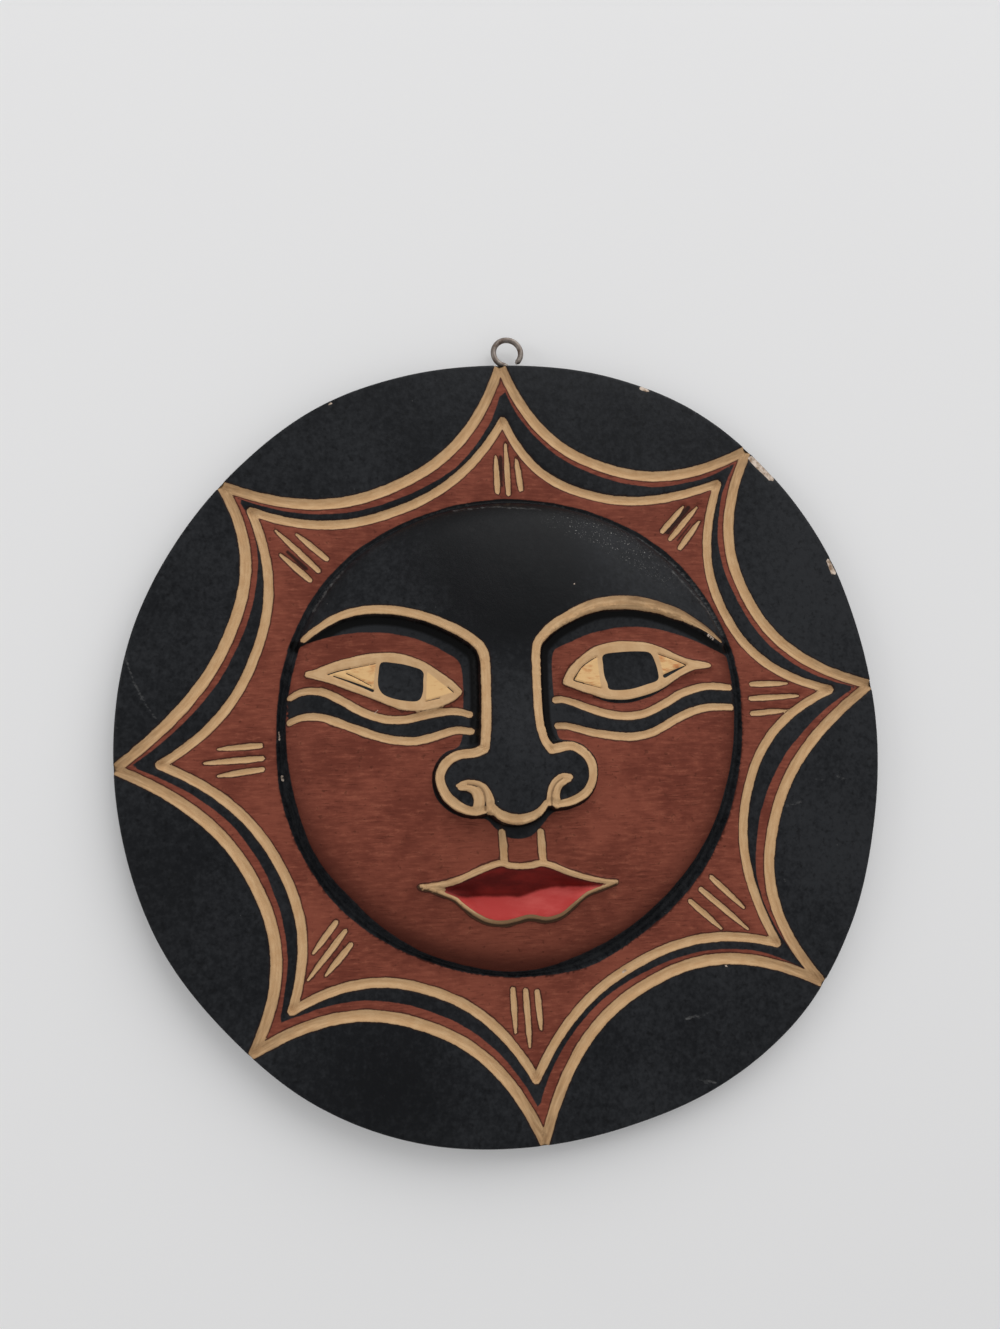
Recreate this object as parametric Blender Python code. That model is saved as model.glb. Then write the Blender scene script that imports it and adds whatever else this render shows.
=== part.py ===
"""Sun face wall plaque: a carved and painted wooden disc, hung by a screw eye in its top edge.

The disc stands upright with its carved front toward -Y, its flat back toward +Y and the
middle of the screw eye's ring at the origin.
"""

import math

import bmesh
import bpy
import numpy as np
from mathutils import Euler, Vector
from mathutils.geometry import delaunay_2d_cdt

# Driving sizes of the wooden disc, in metres
DISC_RADIUS = 0.120
RIM_THICKNESS = 0.009
EDGE_ROUNDING = 0.0010
FACE_HALF_WIDTH = 0.0716
FACE_HALF_HEIGHT = 0.0731
GROOVE_WIDTH = 0.0044
GROOVE_DEPTH = 0.0018

# Heights of the carving over the flat rays
CHEEK_HEIGHT = 0.0115
BROW_HEIGHT = 0.0150
NOSE_HEIGHT = 0.0190
WING_RISE = 0.0030
SOCKET_DEPTH = 0.0022
EYE_RISE = 0.0011
LIP_RISE = 0.0018
LIP_VALLEY = 0.0034
NOSTRIL_DEPTH = 0.0015

# Widths and depths of the cuts
STAR_LINE_WIDTH = 0.0031
STAR_LINE_DEPTH = 0.0008
STROKE_WIDTH = 0.0021
STROKE_DEPTH = 0.0006
FACE_LINE_WIDTH = 0.0023
FACE_LINE_DEPTH = 0.0005

# Steps: how far outside its line each one starts to fall, and over what run
BROW_WALL_START = 0.0012
BROW_WALL_RUN = 0.0034
NOSE_WALL_START = 0.0006
NOSE_WALL_RUN = 0.0016
EYE_WALL_START = 0.0013
EYE_WALL_RUN = 0.0008
LIP_WALL_START = 0.0001
LIP_WALL_RUN = 0.0014

# Screw eye
WIRE_DIAMETER = 0.0018
RING_BORE = 0.0072
SHANK_LENGTH = 0.0100
RING_GAP = 0.0005
FIT_GAP = 0.0003

# Colours (linear) and roughness of the painted wood and of the tarnished steel
WOOD_COLOUR = (0.20, 0.07, 0.045)
WOOD_ROUGHNESS = 0.55
STEEL_COLOUR = (0.20, 0.17, 0.14)
STEEL_ROUGHNESS = 0.45

# Bend of the ring, in degrees from +X: where it leaves the neck, where it ends, and its step
RING_START = -122
RING_END = -411
BEND_STEP = -12

# Fineness: how far apart the points of the carving lie, how much of a step stays clear round a
# row, how near a row may come to another part of its own line, and how finely curves are drawn
LINE_STEP = 0.0050
FACE_STEP = 0.0034
FILL_STEP = 0.0058
FIELD_STEP = 0.0150
FILL_SHARE = 0.62
CLOSEST = 0.0007
ROW_CLEARANCE = 0.9
WIRE_STEP_SHARE = 0.55
WIRE_SIDES = 8
RIM_POINTS = 120
HOLE_SIDES = 24
SPAN_POINTS = 17
ARC_POINTS = 49
GAP_STATIONS = 720
SAME_SPOT = 1e-7

# The design is drawn in millimetres on a disc of this radius and grows with DISC_RADIUS
DRAWN_RADIUS = 120.0

# Rim: how far the hand-cut edge stands off a true circle, every 15 degrees from +X
RIM_CUT = (-3.1, -2.6, -0.5, 1.1, 2.4, 1.2, -0.6, -0.6, -0.1, -1.1, -1.2, -0.6,
           -0.7, -0.4, 0.4, 0.2, 1.4, 1.3, 0.2, 0.0, 1.5, 2.1, 0.1, -2.5)

# Star: tips from the top one clockwise, then the sag and the lean of the arc after each tip
OUTER_TIPS = ((-3, 119.5), (79, 93), (115.5, 14.5), (92.5, -77.5),
              (5, -119), (-78, -90), (-118.5, -9), (-90, 77))
OUTER_ARCS = ((22.3, -0.02), (24.2, 0.0), (23.8, 0.06), (25.2, -0.01),
              (21.0, 0.01), (20.8, -0.05), (17.8, 0.07), (22.6, 0.0))
INNER_TIPS = ((-2.5, 100.5), (68, 81), (102, 13), (79, -65.5),
              (3, -101.5), (-67.5, -79), (-106, -8), (-81, 69))
INNER_ARCS = ((16.2, -0.07), (19.5, 0.02), (19.6, -0.03), (15.3, -0.01),
              (16.0, 0.02), (16.3, -0.03), (15.6, 0.0), (15.8, -0.01))
ARC_FULLNESS = 2.3

# Strokes: three in each ray from the top one clockwise, each from its inner end to its outer end
STROKES = (
    ((-4.7, 76.5), (-5.0, 88.5)), ((-1.2, 76.0), (-1.8, 92.5)), ((2.8, 77.5), (1.5, 88.2)),
    ((48.5, 64.5), (56.0, 73.0)), ((51.0, 62.0), (60.5, 72.8)), ((54.0, 59.0), (61.0, 68.0)),
    ((75.3, 14.8), (87.5, 15.0)), ((75.0, 10.2), (91.0, 11.0)), ((75.0, 5.4), (86.5, 6.3)),
    ((59.0, -45.0), (69.0, -54.5)), ((55.5, -48.5), (70.0, -61.0)), ((52.0, -52.0), (61.5, -60.5)),
    ((3.8, -76.5), (4.8, -87.5)), ((0.4, -76.0), (1.3, -92.2)), ((-3.4, -75.5), (-2.8, -88.0)),
    ((-50.7, -61.0), (-58.0, -69.5)), ((-52.3, -57.0), (-63.0, -70.5)), ((-55.0, -54.5), (-61.5, -63.0)),
    ((-76.5, -9.7), (-89.3, -11.5)), ((-76.5, -6.5), (-93.3, -7.7)), ((-77.0, -2.7), (-89.5, -3.6)),
    ((-63.0, 47.5), (-72.0, 55.5)), ((-60.5, 50.5), (-73.5, 63.0)), ((-58.0, 54.2), (-67.3, 62.0)))

# Shapes of the crowned surfaces: how full each dome is and how steeply it falls at its foot
CHEEK_FULLNESS = 3.0
BROW_FULLNESS = 3.4
DOME_FALL = 0.6
NOSE_FULLNESS = 2.5

# Face: its middle, and the lines of the brows, nose, eyes, cheeks and mouth
FACE_MIDDLE = (-0.5, 1.5)
LEFT_BROW = ((-65.3, 27.2), (-61, 31.1), (-55.2, 34.3), (-50, 35.8), (-44.6, 36.4), (-38.5, 36),
             (-32.3, 34.8), (-26.2, 32.8), (-20, 29.9), (-15.4, 27.0), (-12.7, 24.4), (-11.6, 21.0),
             (-11.4, 13.8), (-11.5, 6.2), (-11.9, -1.5), (-12.3, -5.4))
RIGHT_BROW = ((65, 28), (60, 31), (53.8, 34), (47.7, 36.3), (40, 38.2), (32.3, 38.8),
              (26.2, 38.3), (20.8, 37), (15.4, 34.6), (10, 31.5), (6.9, 28.8), (4.6, 26.2),
              (3.8, 23.1), (3.7, 16.9), (3.7, 10.8), (3.9, 3.1), (4.5, -0.6), (5.4, -3.4), (7.2, -5.9))
LEFT_WING = ((-12.3, -5.4), (-15.0, -6.6), (-18.6, -6.9), (-21.4, -7.8), (-23.5, -9.5), (-24.8, -11.8),
             (-25.1, -13.9), (-24.5, -16.4), (-23.1, -18.9), (-21.0, -21.0), (-18.2, -22.6),
             (-15.3, -23.3), (-12.6, -22.9))
NOSE_TIP = ((-10.7, -21.6), (-8.8, -24.0), (-6.0, -25.5), (-2.7, -25.9), (0.9, -25.1), (3.5, -23.5),
            (5.1, -21.4))
RIGHT_WING = ((6.6, -20.9), (8.7, -21.6), (12.0, -21.2), (15.3, -20.0), (17.8, -18.3), (19.5, -15.4),
              (19.9, -12.5), (19.4, -9.6), (17.6, -7.1), (14.9, -5.3), (12.5, -4.9), (9.9, -5.4),
              (7.2, -5.9))
LEFT_NOSTRIL = ((-20.6, -16.4), (-18.8, -15.3), (-16.3, -15.3), (-14.1, -16.2), (-12.2, -18.2),
                (-11.0, -20.2), (-10.7, -21.6))
RIGHT_NOSTRIL = ((13.0, -14.4), (11.4, -13.5), (9.4, -14.0), (7.5, -15.4), (6.3, -17.3), (5.9, -19.5),
                 (5.4, -21.2))
NOSTRIL_HOLES = ((-17.8, -19.3), (11.0, -18.4))
NOSTRIL_HALF_WIDTH = 2.2
LEFT_UPPER_LID = ((-63.4, 17.8), (-60.3, 18.4), (-56.0, 19.8), (-50.8, 20.9), (-46.8, 21.6),
                  (-42.2, 22.1), (-37.4, 22.1), (-33.2, 21.1), (-29.0, 19.4), (-25.3, 16.8),
                  (-22.2, 14.5), (-19.1, 11.6))
LEFT_LOWER_LID = ((-63.4, 17.8), (-60.9, 17.1), (-57.3, 16.1), (-52.6, 14.5), (-47.9, 12.7),
                  (-43.1, 10.9), (-39.1, 9.1), (-35.5, 7.8), (-31.8, 7.4), (-28.5, 7.6), (-24.5, 8.6),
                  (-21.1, 10.1), (-19.1, 11.6))
RIGHT_UPPER_LID = ((59.6, 20.0), (56.5, 20.4), (53.3, 20.7), (49.0, 21.9), (44.7, 23.7), (40.8, 25.0),
                   (36.5, 25.6), (31.5, 25.6), (27.5, 25.2), (23.6, 24.0), (20.3, 22.2), (17.3, 19.8),
                   (15.1, 17.5), (13.3, 14.5))
RIGHT_LOWER_LID = ((59.6, 20.0), (56.4, 19.6), (53.2, 19.0), (49.2, 17.3), (45.1, 14.9), (41.5, 13.0),
                   (37.3, 11.5), (32.0, 10.2), (26.2, 10.4), (21.6, 11.7), (17.1, 13.1), (13.3, 14.5))
CHEEK_LINES = (
    ((-68.6, 11.0), (-65.8, 12.4), (-62.6, 12.8), (-59.0, 12.4), (-55.8, 11.1), (-52.6, 9.3), (-49.0, 7.1),
     (-45.0, 5.2), (-40.6, 3.9), (-36.3, 3.6), (-31.9, 4.2), (-27.5, 5.2), (-23.4, 5.8), (-19.4, 5.8),
     (-16.0, 4.9)),
    ((-68.6, 3.7), (-65.8, 4.8), (-62.6, 5.2), (-59.0, 4.8), (-55.4, 3.6), (-51.1, 1.9), (-46.4, 0.1),
     (-42.1, -1.4), (-37.4, -2.4), (-32.7, -2.7), (-28.3, -2.0), (-23.9, -0.7), (-19.8, 0.3),
     (-15.6, -0.1)),
    ((9.8, 9.0), (11.9, 9.2), (15.3, 8.2), (19.1, 6.8), (23.6, 5.3), (28.2, 4.3), (32.8, 4.1),
     (37.1, 4.8), (41.1, 6.4), (45.1, 8.5), (49.5, 11.0), (54.4, 12.6), (59.2, 13.5), (67.3, 13.4)),
    ((10.2, 1.3), (12.8, 1.2), (16.6, 0.3), (21.1, -0.9), (26.4, -1.7), (31.8, -2.2), (35.7, -1.8),
     (39.6, -0.8), (44.0, 1.3), (48.4, 3.7), (53.2, 5.6), (58.8, 6.9), (67.3, 7.2)))
LIP_TOP = ((-30.8, -44.5), (-27.3, -44.2), (-23.2, -43.7), (-19.1, -42.4), (-14.9, -40.6),
           (-11.2, -39.2), (-7.4, -38.2), (-5.6, -38.9), (-2.0, -39.3), (1.3, -39.1), (4.3, -38.6),
           (8.1, -39.7), (12.2, -41.4), (16.9, -43.0), (21.5, -44.1), (26.8, -44.9))
LIP_BOTTOM = ((-30.8, -44.5), (-27.3, -45.5), (-24.1, -46.8), (-20.8, -48.3), (-18.4, -50.4),
              (-14.8, -53.2), (-11.1, -55.0), (-6.6, -55.6), (-2.8, -54.9), (0.1, -54.2), (2.6, -54.4),
              (5.9, -55.0), (9.7, -54.1), (12.3, -52.4), (15.3, -49.9), (18.4, -47.7), (22.7, -46.3),
              (26.8, -44.9))
LIP_MEETING = ((-24.3, -46.0), (-18.1, -47.8), (-11.9, -47.9), (-6.0, -47.9), (-1.4, -48.3),
               (3.3, -46.9), (7.6, -45.9), (11.4, -45.8), (17.8, -46.0), (23.0, -45.2))
LIP_HALF_DEPTH = 7.0
LIP_TAPER = 4.0
PHILTRUM = (((-7.1, -29.4), (-6.7, -33.4), (-6.5, -37.4)), ((4.3, -29.6), (4.6, -33.7), (4.9, -37.4)))
EYE_MIDDLES = ((-36, 17), (32, 20))
SOCKET_SPREAD = (24.0, 13.0)
NOSE_MIDDLE = (-3.6, -14.0)
NOSE_SPREAD = (13.0, 22.0)
BRIDGE_FOOT = ((-8, -12), (2, -12))
OVER_FACE = ((120, 60), (60, 140), (-60, 140), (-120, 60))
FACE_BANDS = (0.92, 0.89, 0.84)

TAU = 2 * math.pi


def metres(points):
    """Design points in millimetres, turned into metres on the real disc."""
    return np.asarray(points, float) * DISC_RADIUS / DRAWN_RADIUS


def respaced(line, spacing):
    """The same line with its points about one spacing apart."""
    along = np.r_[0.0, np.cumsum(np.hypot(*np.diff(line, axis=0).T))]
    count = max(2, round(along[-1] / spacing) + 1)
    places = np.linspace(0.0, along[-1], count)
    return np.c_[np.interp(places, along, line[:, 0]), np.interp(places, along, line[:, 1])]


def smooth_line(points, spacing):
    """A smooth curve through the points, as a row of points one spacing apart."""
    p = np.asarray(points, float)
    p = np.vstack([2 * p[:1] - p[1:2], p, 2 * p[-1:] - p[-2:-1]])
    t = np.linspace(0.0, 1.0, SPAN_POINTS)[:, None]
    spans = [eased(a, b, c, d, t) for a, b, c, d in zip(p, p[1:], p[2:], p[3:])]
    return respaced(np.vstack([spans[0][:1]] + [span[1:] for span in spans]), spacing)


def eased(a, b, c, d, t):
    """Smooth passage from b at t = 0 to c at t = 1, between a before them and d after them."""
    return 0.5 * (2 * b + (c - a) * t + (2 * a - 5 * b + 4 * c - d) * t ** 2
                  + (3 * b - a - 3 * c + d) * t ** 3)


def rim_line(count, inset=0.0):
    """The hand-cut rim of the disc as a closed ring of points."""
    turn = np.arange(count) * TAU / count
    place = np.arange(count) * len(RIM_CUT) / count
    i = np.floor(place).astype(int)
    stand = [metres(np.take(RIM_CUT, i + k, mode="wrap")) for k in (-1, 0, 1, 2)]
    radius = DISC_RADIUS + eased(*stand, place - i) - inset
    return np.c_[radius * np.cos(turn), radius * np.sin(turn)]


def star_arcs(tips, arcs, spacing):
    """The eight sagging arcs of one star, tip to tip."""
    lines = []
    for k, (sag, lean) in enumerate(arcs):
        start, end = metres(tips[k]), metres(tips[(k + 1) % len(tips)])
        t = np.linspace(0.0, 1.0, ARC_POINTS)
        warped = t - 4 * lean * t * (1 - t)
        depth = metres(sag) * (1 - np.abs(2 * warped - 1) ** ARC_FULLNESS)
        chord = end - start
        inward = np.array([chord[1], -chord[0]]) / np.hypot(*chord)
        lines.append(respaced(start + chord * t[:, None] + inward * depth[:, None], spacing))
    return lines


def stroke_lines():
    """The short straight strokes of the rays, each with a point at its middle."""
    strokes = [metres(stroke) for stroke in STROKES]
    return [np.array([inner, (inner + outer) / 2, outer]) for inner, outer in strokes]


def distance(q, line):
    """How far each point of q is from the line."""
    best = np.full(len(q), np.inf)
    for start, end in zip(line, line[1:]):
        run = end - start
        rel = q - start
        t = np.clip(rel @ run / max(run @ run, SAME_SPOT ** 2), 0.0, 1.0)
        gap = rel - t[:, None] * run
        best = np.minimum(best, np.einsum("ij,ij->i", gap, gap))
    return np.sqrt(best)


def inside(q, ring):
    """True for the points of q inside the closed ring."""
    hit = np.zeros(len(q), bool)
    for (x0, y0), (x1, y1) in zip(ring, np.roll(ring, -1, axis=0)):
        if y0 == y1:
            continue
        spans = (q[:, 1] < y0) != (q[:, 1] < y1)
        hit ^= spans & (q[:, 0] < x0 + (q[:, 1] - y0) / (y1 - y0) * (x1 - x0))
    return hit


def depth_inside(q, ring):
    """Distance to the ring, positive inside it and negative outside."""
    gap = distance(q, np.vstack([ring, ring[:1]]))
    return np.where(inside(q, ring), gap, -gap)


def ramp(x):
    """Smooth step from 0 at x = 0 to 1 at x = 1."""
    x = np.clip(x, 0.0, 1.0)
    return x * x * (3 - 2 * x)


def gouge(gap, width, depth):
    """Round-bottomed cut: its depth at a distance from its middle."""
    return depth * np.clip(1 - (2 * gap / width) ** 2, 0.0, None)


def carving_lines(step):
    """Every line of the face as a row of points in metres."""
    def line(points):
        return smooth_line(metres(points), step)

    return {
        "left_brow": line(LEFT_BROW), "right_brow": line(RIGHT_BROW),
        "left_wing": line(LEFT_WING), "right_wing": line(RIGHT_WING), "nose_tip": line(NOSE_TIP),
        "left_nostril": line(LEFT_NOSTRIL), "right_nostril": line(RIGHT_NOSTRIL),
        "left_upper": line(LEFT_UPPER_LID), "left_lower": line(LEFT_LOWER_LID),
        "right_upper": line(RIGHT_UPPER_LID), "right_lower": line(RIGHT_LOWER_LID),
        "lip_top": line(LIP_TOP), "lip_bottom": line(LIP_BOTTOM), "lip_meeting": line(LIP_MEETING),
        "cheeks": [line(points) for points in CHEEK_LINES],
        "philtrum": [line(points) for points in PHILTRUM]}


def face_rings(lines):
    """The closed outlines of the forehead with its bridge, the nose, the eyes and the lips."""
    crown = np.vstack([lines["left_brow"], metres(BRIDGE_FOOT), lines["right_brow"][::-1],
                       metres(OVER_FACE)])
    return {"crown": crown,
            "nose": np.vstack([lines["left_wing"], lines["nose_tip"], lines["right_wing"]]),
            "left_eye": np.vstack([lines["left_upper"], lines["left_lower"][::-1]]),
            "right_eye": np.vstack([lines["right_upper"], lines["right_lower"][::-1]]),
            "lips": np.vstack([lines["lip_top"], lines["lip_bottom"][::-1]])}


def face_share(q):
    """How far out each point is, as a share of the face's own half width and height."""
    rel = (q - metres(FACE_MIDDLE)) / (FACE_HALF_WIDTH, FACE_HALF_HEIGHT)
    return np.hypot(rel[:, 0], rel[:, 1])


def dome(share, foot, height, fullness):
    """Crowned surface that falls to zero at its foot."""
    return height * np.clip(1 - (share / foot) ** fullness, 0.0, None) ** DOME_FALL


def step_up(q, ring, start, run):
    """1 inside a ring and up to a start outside it, then down to 0 over a run."""
    return ramp((depth_inside(q, ring) + start + run) / run)


def relief(q, lines, rings, stars, strokes):
    """Height of the carved front over the flat rays, for each point of q."""
    share = face_share(q)
    inset = (1 - share) * FACE_HALF_WIDTH
    foot = 1 - GROOVE_WIDTH / 2 / FACE_HALF_WIDTH
    cheek = dome(share, foot, CHEEK_HEIGHT, CHEEK_FULLNESS)
    for spot in EYE_MIDDLES:
        rel = (q - metres(spot)) / metres(SOCKET_SPREAD)
        cheek -= SOCKET_DEPTH * np.exp(-(rel[:, 0] ** 2 + rel[:, 1] ** 2))
    cheek = np.maximum(cheek, 0.0)

    rel = np.abs(q - metres(NOSE_MIDDLE)) / metres(NOSE_SPREAD)
    bulb = np.exp(-(rel ** NOSE_FULLNESS).sum(axis=1))
    brow = dome(share, foot, BROW_HEIGHT, BROW_FULLNESS) + (NOSE_HEIGHT - BROW_HEIGHT) * bulb
    crown = step_up(q, rings["crown"], BROW_WALL_START, BROW_WALL_RUN)
    wings = cheek + WING_RISE + (NOSE_HEIGHT - CHEEK_HEIGHT - WING_RISE) * bulb
    nose = step_up(q, rings["nose"], NOSE_WALL_START, NOSE_WALL_RUN)
    height = np.maximum(cheek + crown * np.maximum(brow - cheek, 0.0),
                        cheek + nose * (wings - cheek))

    for side in ("left_eye", "right_eye"):
        height += EYE_RISE * step_up(q, rings[side], EYE_WALL_START, EYE_WALL_RUN)
    height += LIP_RISE * step_up(q, rings["lips"], LIP_WALL_START, LIP_WALL_RUN)
    valley = 1 - np.clip(distance(q, lines["lip_meeting"]) / metres(LIP_HALF_DEPTH), 0.0, 1.0)
    height -= LIP_VALLEY * valley * ramp(depth_inside(q, rings["lips"]) / metres(LIP_TAPER))

    for name in ("left_brow", "right_brow", "left_wing", "right_wing", "nose_tip"):
        height -= gouge(distance(q, lines[name]), FACE_LINE_WIDTH, FACE_LINE_DEPTH)
    for line in lines["cheeks"] + lines["philtrum"]:
        height -= gouge(distance(q, line), FACE_LINE_WIDTH, FACE_LINE_DEPTH)
    for spot in NOSTRIL_HOLES:
        gap = np.hypot(*(q - metres(spot)).T)
        height -= gouge(gap, 2 * metres(NOSTRIL_HALF_WIDTH), NOSTRIL_DEPTH)

    height -= gouge(np.abs(inset - GROOVE_WIDTH / 2), GROOVE_WIDTH, GROOVE_DEPTH)
    for line in stars:
        height -= gouge(distance(q, line), STAR_LINE_WIDTH, STAR_LINE_DEPTH)
    for line in strokes:
        height -= gouge(distance(q, line), STROKE_WIDTH, STROKE_DEPTH)
    return height


def beside(line, offset):
    """The row of points at one side of a line, without those that another part of it cuts off."""
    run = np.gradient(line, axis=0)
    run /= np.hypot(run[:, 0], run[:, 1])[:, None]
    row = line + np.c_[-run[:, 1], run[:, 0]] * offset
    return row[distance(row, line) > abs(offset) * ROW_CLEARANCE]


def carving_rows(lines, stars, strokes):
    """Rows of points along every cut and along the foot and the top of every step."""
    rows = []
    groove = GROOVE_WIDTH / FACE_HALF_WIDTH
    for share in (1.0, 1 - groove / 2, 1 - groove) + FACE_BANDS:
        turn = np.arange(0.0, TAU, LINE_STEP / FACE_HALF_WIDTH)
        half = np.array((FACE_HALF_WIDTH, FACE_HALF_HEIGHT)) * share
        rows.append(metres(FACE_MIDDLE) + np.c_[np.cos(turn), np.sin(turn)] * half)

    def add(line, *offsets):
        rows.append(line)
        for offset in offsets:
            rows.extend((beside(line, offset), beside(line, -offset)))

    for line in stars:
        add(line, STAR_LINE_WIDTH / 2)
    for line in strokes:
        add(line, STROKE_WIDTH / 2)
    steps = (("left_brow right_brow", BROW_WALL_START, BROW_WALL_RUN),
             ("left_wing right_wing nose_tip", NOSE_WALL_START, NOSE_WALL_RUN),
             ("left_upper left_lower right_upper right_lower", EYE_WALL_START, EYE_WALL_RUN),
             ("lip_top lip_bottom", LIP_WALL_START, LIP_WALL_RUN))
    for names, start, run in steps:
        for name in names.split():
            add(lines[name], start, start + run)
    for name in ("left_brow", "right_brow"):
        add(lines[name], BROW_WALL_START + BROW_WALL_RUN / 2)
    for line in lines["cheeks"] + lines["philtrum"]:
        add(line, FACE_LINE_WIDTH / 2)
    for name in ("lip_meeting", "left_nostril", "right_nostril"):
        add(lines[name])
    return rows


def fill_points(rows):
    """Points that fill what the rows leave open: close together on the face, wide apart outside."""
    taken = np.vstack(rows)
    fill = []
    for step, in_face in ((FILL_STEP, True), (FIELD_STEP, False)):
        reach = np.arange(-DISC_RADIUS, DISC_RADIUS, step)
        grid = np.array([(u + step / 2 * (j % 2), v) for j, v in enumerate(reach) for u in reach])
        share = face_share(grid)
        grid = grid[share < 1 - GROOVE_WIDTH / FACE_HALF_WIDTH] if in_face else grid[share > 1.0]
        gap = np.array([np.min(np.hypot(*(taken - spot).T)) for spot in grid])
        fill.append(grid[gap > step * FILL_SHARE])
    return np.vstack(fill)


def laid_out(rows, rim):
    """All points, leaving out each one too near to an earlier one, and the edges along the rows."""
    cells = {}
    points, edges = [], []

    def lay(spot):
        x, y = int(math.floor(spot[0] / CLOSEST)), int(math.floor(spot[1] / CLOSEST))
        near = [other for i in (-1, 0, 1) for j in (-1, 0, 1)
                for other in cells.get((x + i, y + j), ())]
        if any(math.dist(spot, other) < CLOSEST for other in near):
            return None
        cells.setdefault((x, y), []).append(spot)
        points.append(spot)
        return len(points) - 1

    for spot in rim:
        lay(spot)
    for row in rows:
        kept = [lay(spot) for spot in row]
        edges += [(a, b) for a, b in zip(kept, kept[1:]) if a is not None and b is not None]
    return points, edges


def rim_gap(q):
    """Distance in from the rim, along the radius."""
    turn = np.arctan2(q[:, 1], q[:, 0]) % TAU
    ring = rim_line(GAP_STATIONS)
    radius = np.hypot(ring[:, 0], ring[:, 1])
    here = np.interp(turn, np.linspace(0.0, TAU, GAP_STATIONS + 1), np.r_[radius, radius[0]])
    return here - np.hypot(q[:, 0], q[:, 1])


def plain_material(name, colour, roughness, metallic):
    """A plain material in the piece's own colour."""
    material = bpy.data.materials.new(name)
    material.use_nodes = True
    shader = material.node_tree.nodes["Principled BSDF"]
    shader.inputs["Base Color"].default_value = (*colour, 1.0)
    shader.inputs["Roughness"].default_value = roughness
    shader.inputs["Metallic"].default_value = metallic
    return material


def carved_front():
    """The carved surface as a triangle mesh over the disc, with heights along +Z."""
    stars = star_arcs(OUTER_TIPS, OUTER_ARCS, LINE_STEP) + star_arcs(INNER_TIPS, INNER_ARCS, LINE_STEP)
    strokes = stroke_lines()
    lines = carving_lines(FACE_STEP)
    rows = carving_rows(lines, stars, strokes)
    fill = fill_points(rows)
    fill = fill[rim_gap(fill) > FIELD_STEP / 2]
    rows = [row[rim_gap(row) > 2 * EDGE_ROUNDING] for row in rows] + list(fill[:, None])
    points, edges = laid_out([rim_line(RIM_POINTS, EDGE_ROUNDING)] + rows, rim_line(RIM_POINTS))
    flat = [Vector(spot) for spot in points]
    spots, _, faces, *_ = delaunay_2d_cdt(flat, edges, [list(range(RIM_POINTS))], 1, SAME_SPOT)
    q = np.array([tuple(spot) for spot in spots])
    height = relief(q, lines, face_rings(lines), stars, strokes)
    height -= EDGE_ROUNDING * np.clip(1 - rim_gap(q) / EDGE_ROUNDING, 0.0, 1.0)
    mesh = bpy.data.meshes.new("carved_disc")
    mesh.from_pydata(np.c_[q, height].tolist(), [], [list(face) for face in faces])
    return mesh


def add_disc(collection, cutters):
    """The wooden disc: carved front, straight edge, flat back and the screw eye's pilot hole."""
    mesh = carved_front()
    bm = bmesh.new()
    bm.from_mesh(mesh)
    rim = [edge for edge in bm.edges if edge.is_boundary]
    wall = bmesh.ops.extrude_edge_only(bm, edges=rim)["geom"]
    for vert in (item for item in wall if isinstance(item, bmesh.types.BMVert)):
        vert.co.z = -RIM_THICKNESS
    back = [edge for edge in bm.edges if edge.is_boundary]
    bmesh.ops.contextual_create(bm, geom=back)
    bmesh.ops.recalc_face_normals(bm, faces=bm.faces)
    bm.to_mesh(mesh)
    bm.free()
    disc = bpy.data.objects.new("carved_disc", mesh)
    collection.objects.link(disc)
    mesh.materials.append(plain_material("painted wood", WOOD_COLOUR, WOOD_ROUGHNESS, 0.0))

    hole = bpy.data.meshes.new("pilot_hole")
    bm = bmesh.new()
    bmesh.ops.create_cone(bm, cap_ends=True, segments=HOLE_SIDES, radius1=WIRE_DIAMETER / 2 + FIT_GAP,
                          radius2=WIRE_DIAMETER / 2 + FIT_GAP, depth=2 * (SHANK_LENGTH + FIT_GAP))
    bm.to_mesh(hole)
    bm.free()
    cutter = bpy.data.objects.new("pilot_hole", hole)
    cutter.rotation_euler = Euler((math.pi / 2, 0, 0))
    cutter.location = (0.0, rim_top(), -RIM_THICKNESS / 2)
    cutter.hide_render = True
    cutter.display_type = "WIRE"
    cutters.objects.link(cutter)
    cut = disc.modifiers.new("pilot hole", "BOOLEAN")
    cut.operation = "DIFFERENCE"
    cut.object = cutter
    return disc, cutter


def rim_top():
    """Height of the rim over the middle of the disc, straight above it."""
    return np.hypot(*rim_line(4)[1])


def ring_radius():
    """Radius of the middle of the ring's wire."""
    return (RING_BORE + WIRE_DIAMETER) / 2


def ring_height():
    """Height of the ring's middle over the middle of the disc."""
    return rim_top() + RING_GAP + WIRE_DIAMETER / 2 + ring_radius()


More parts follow.
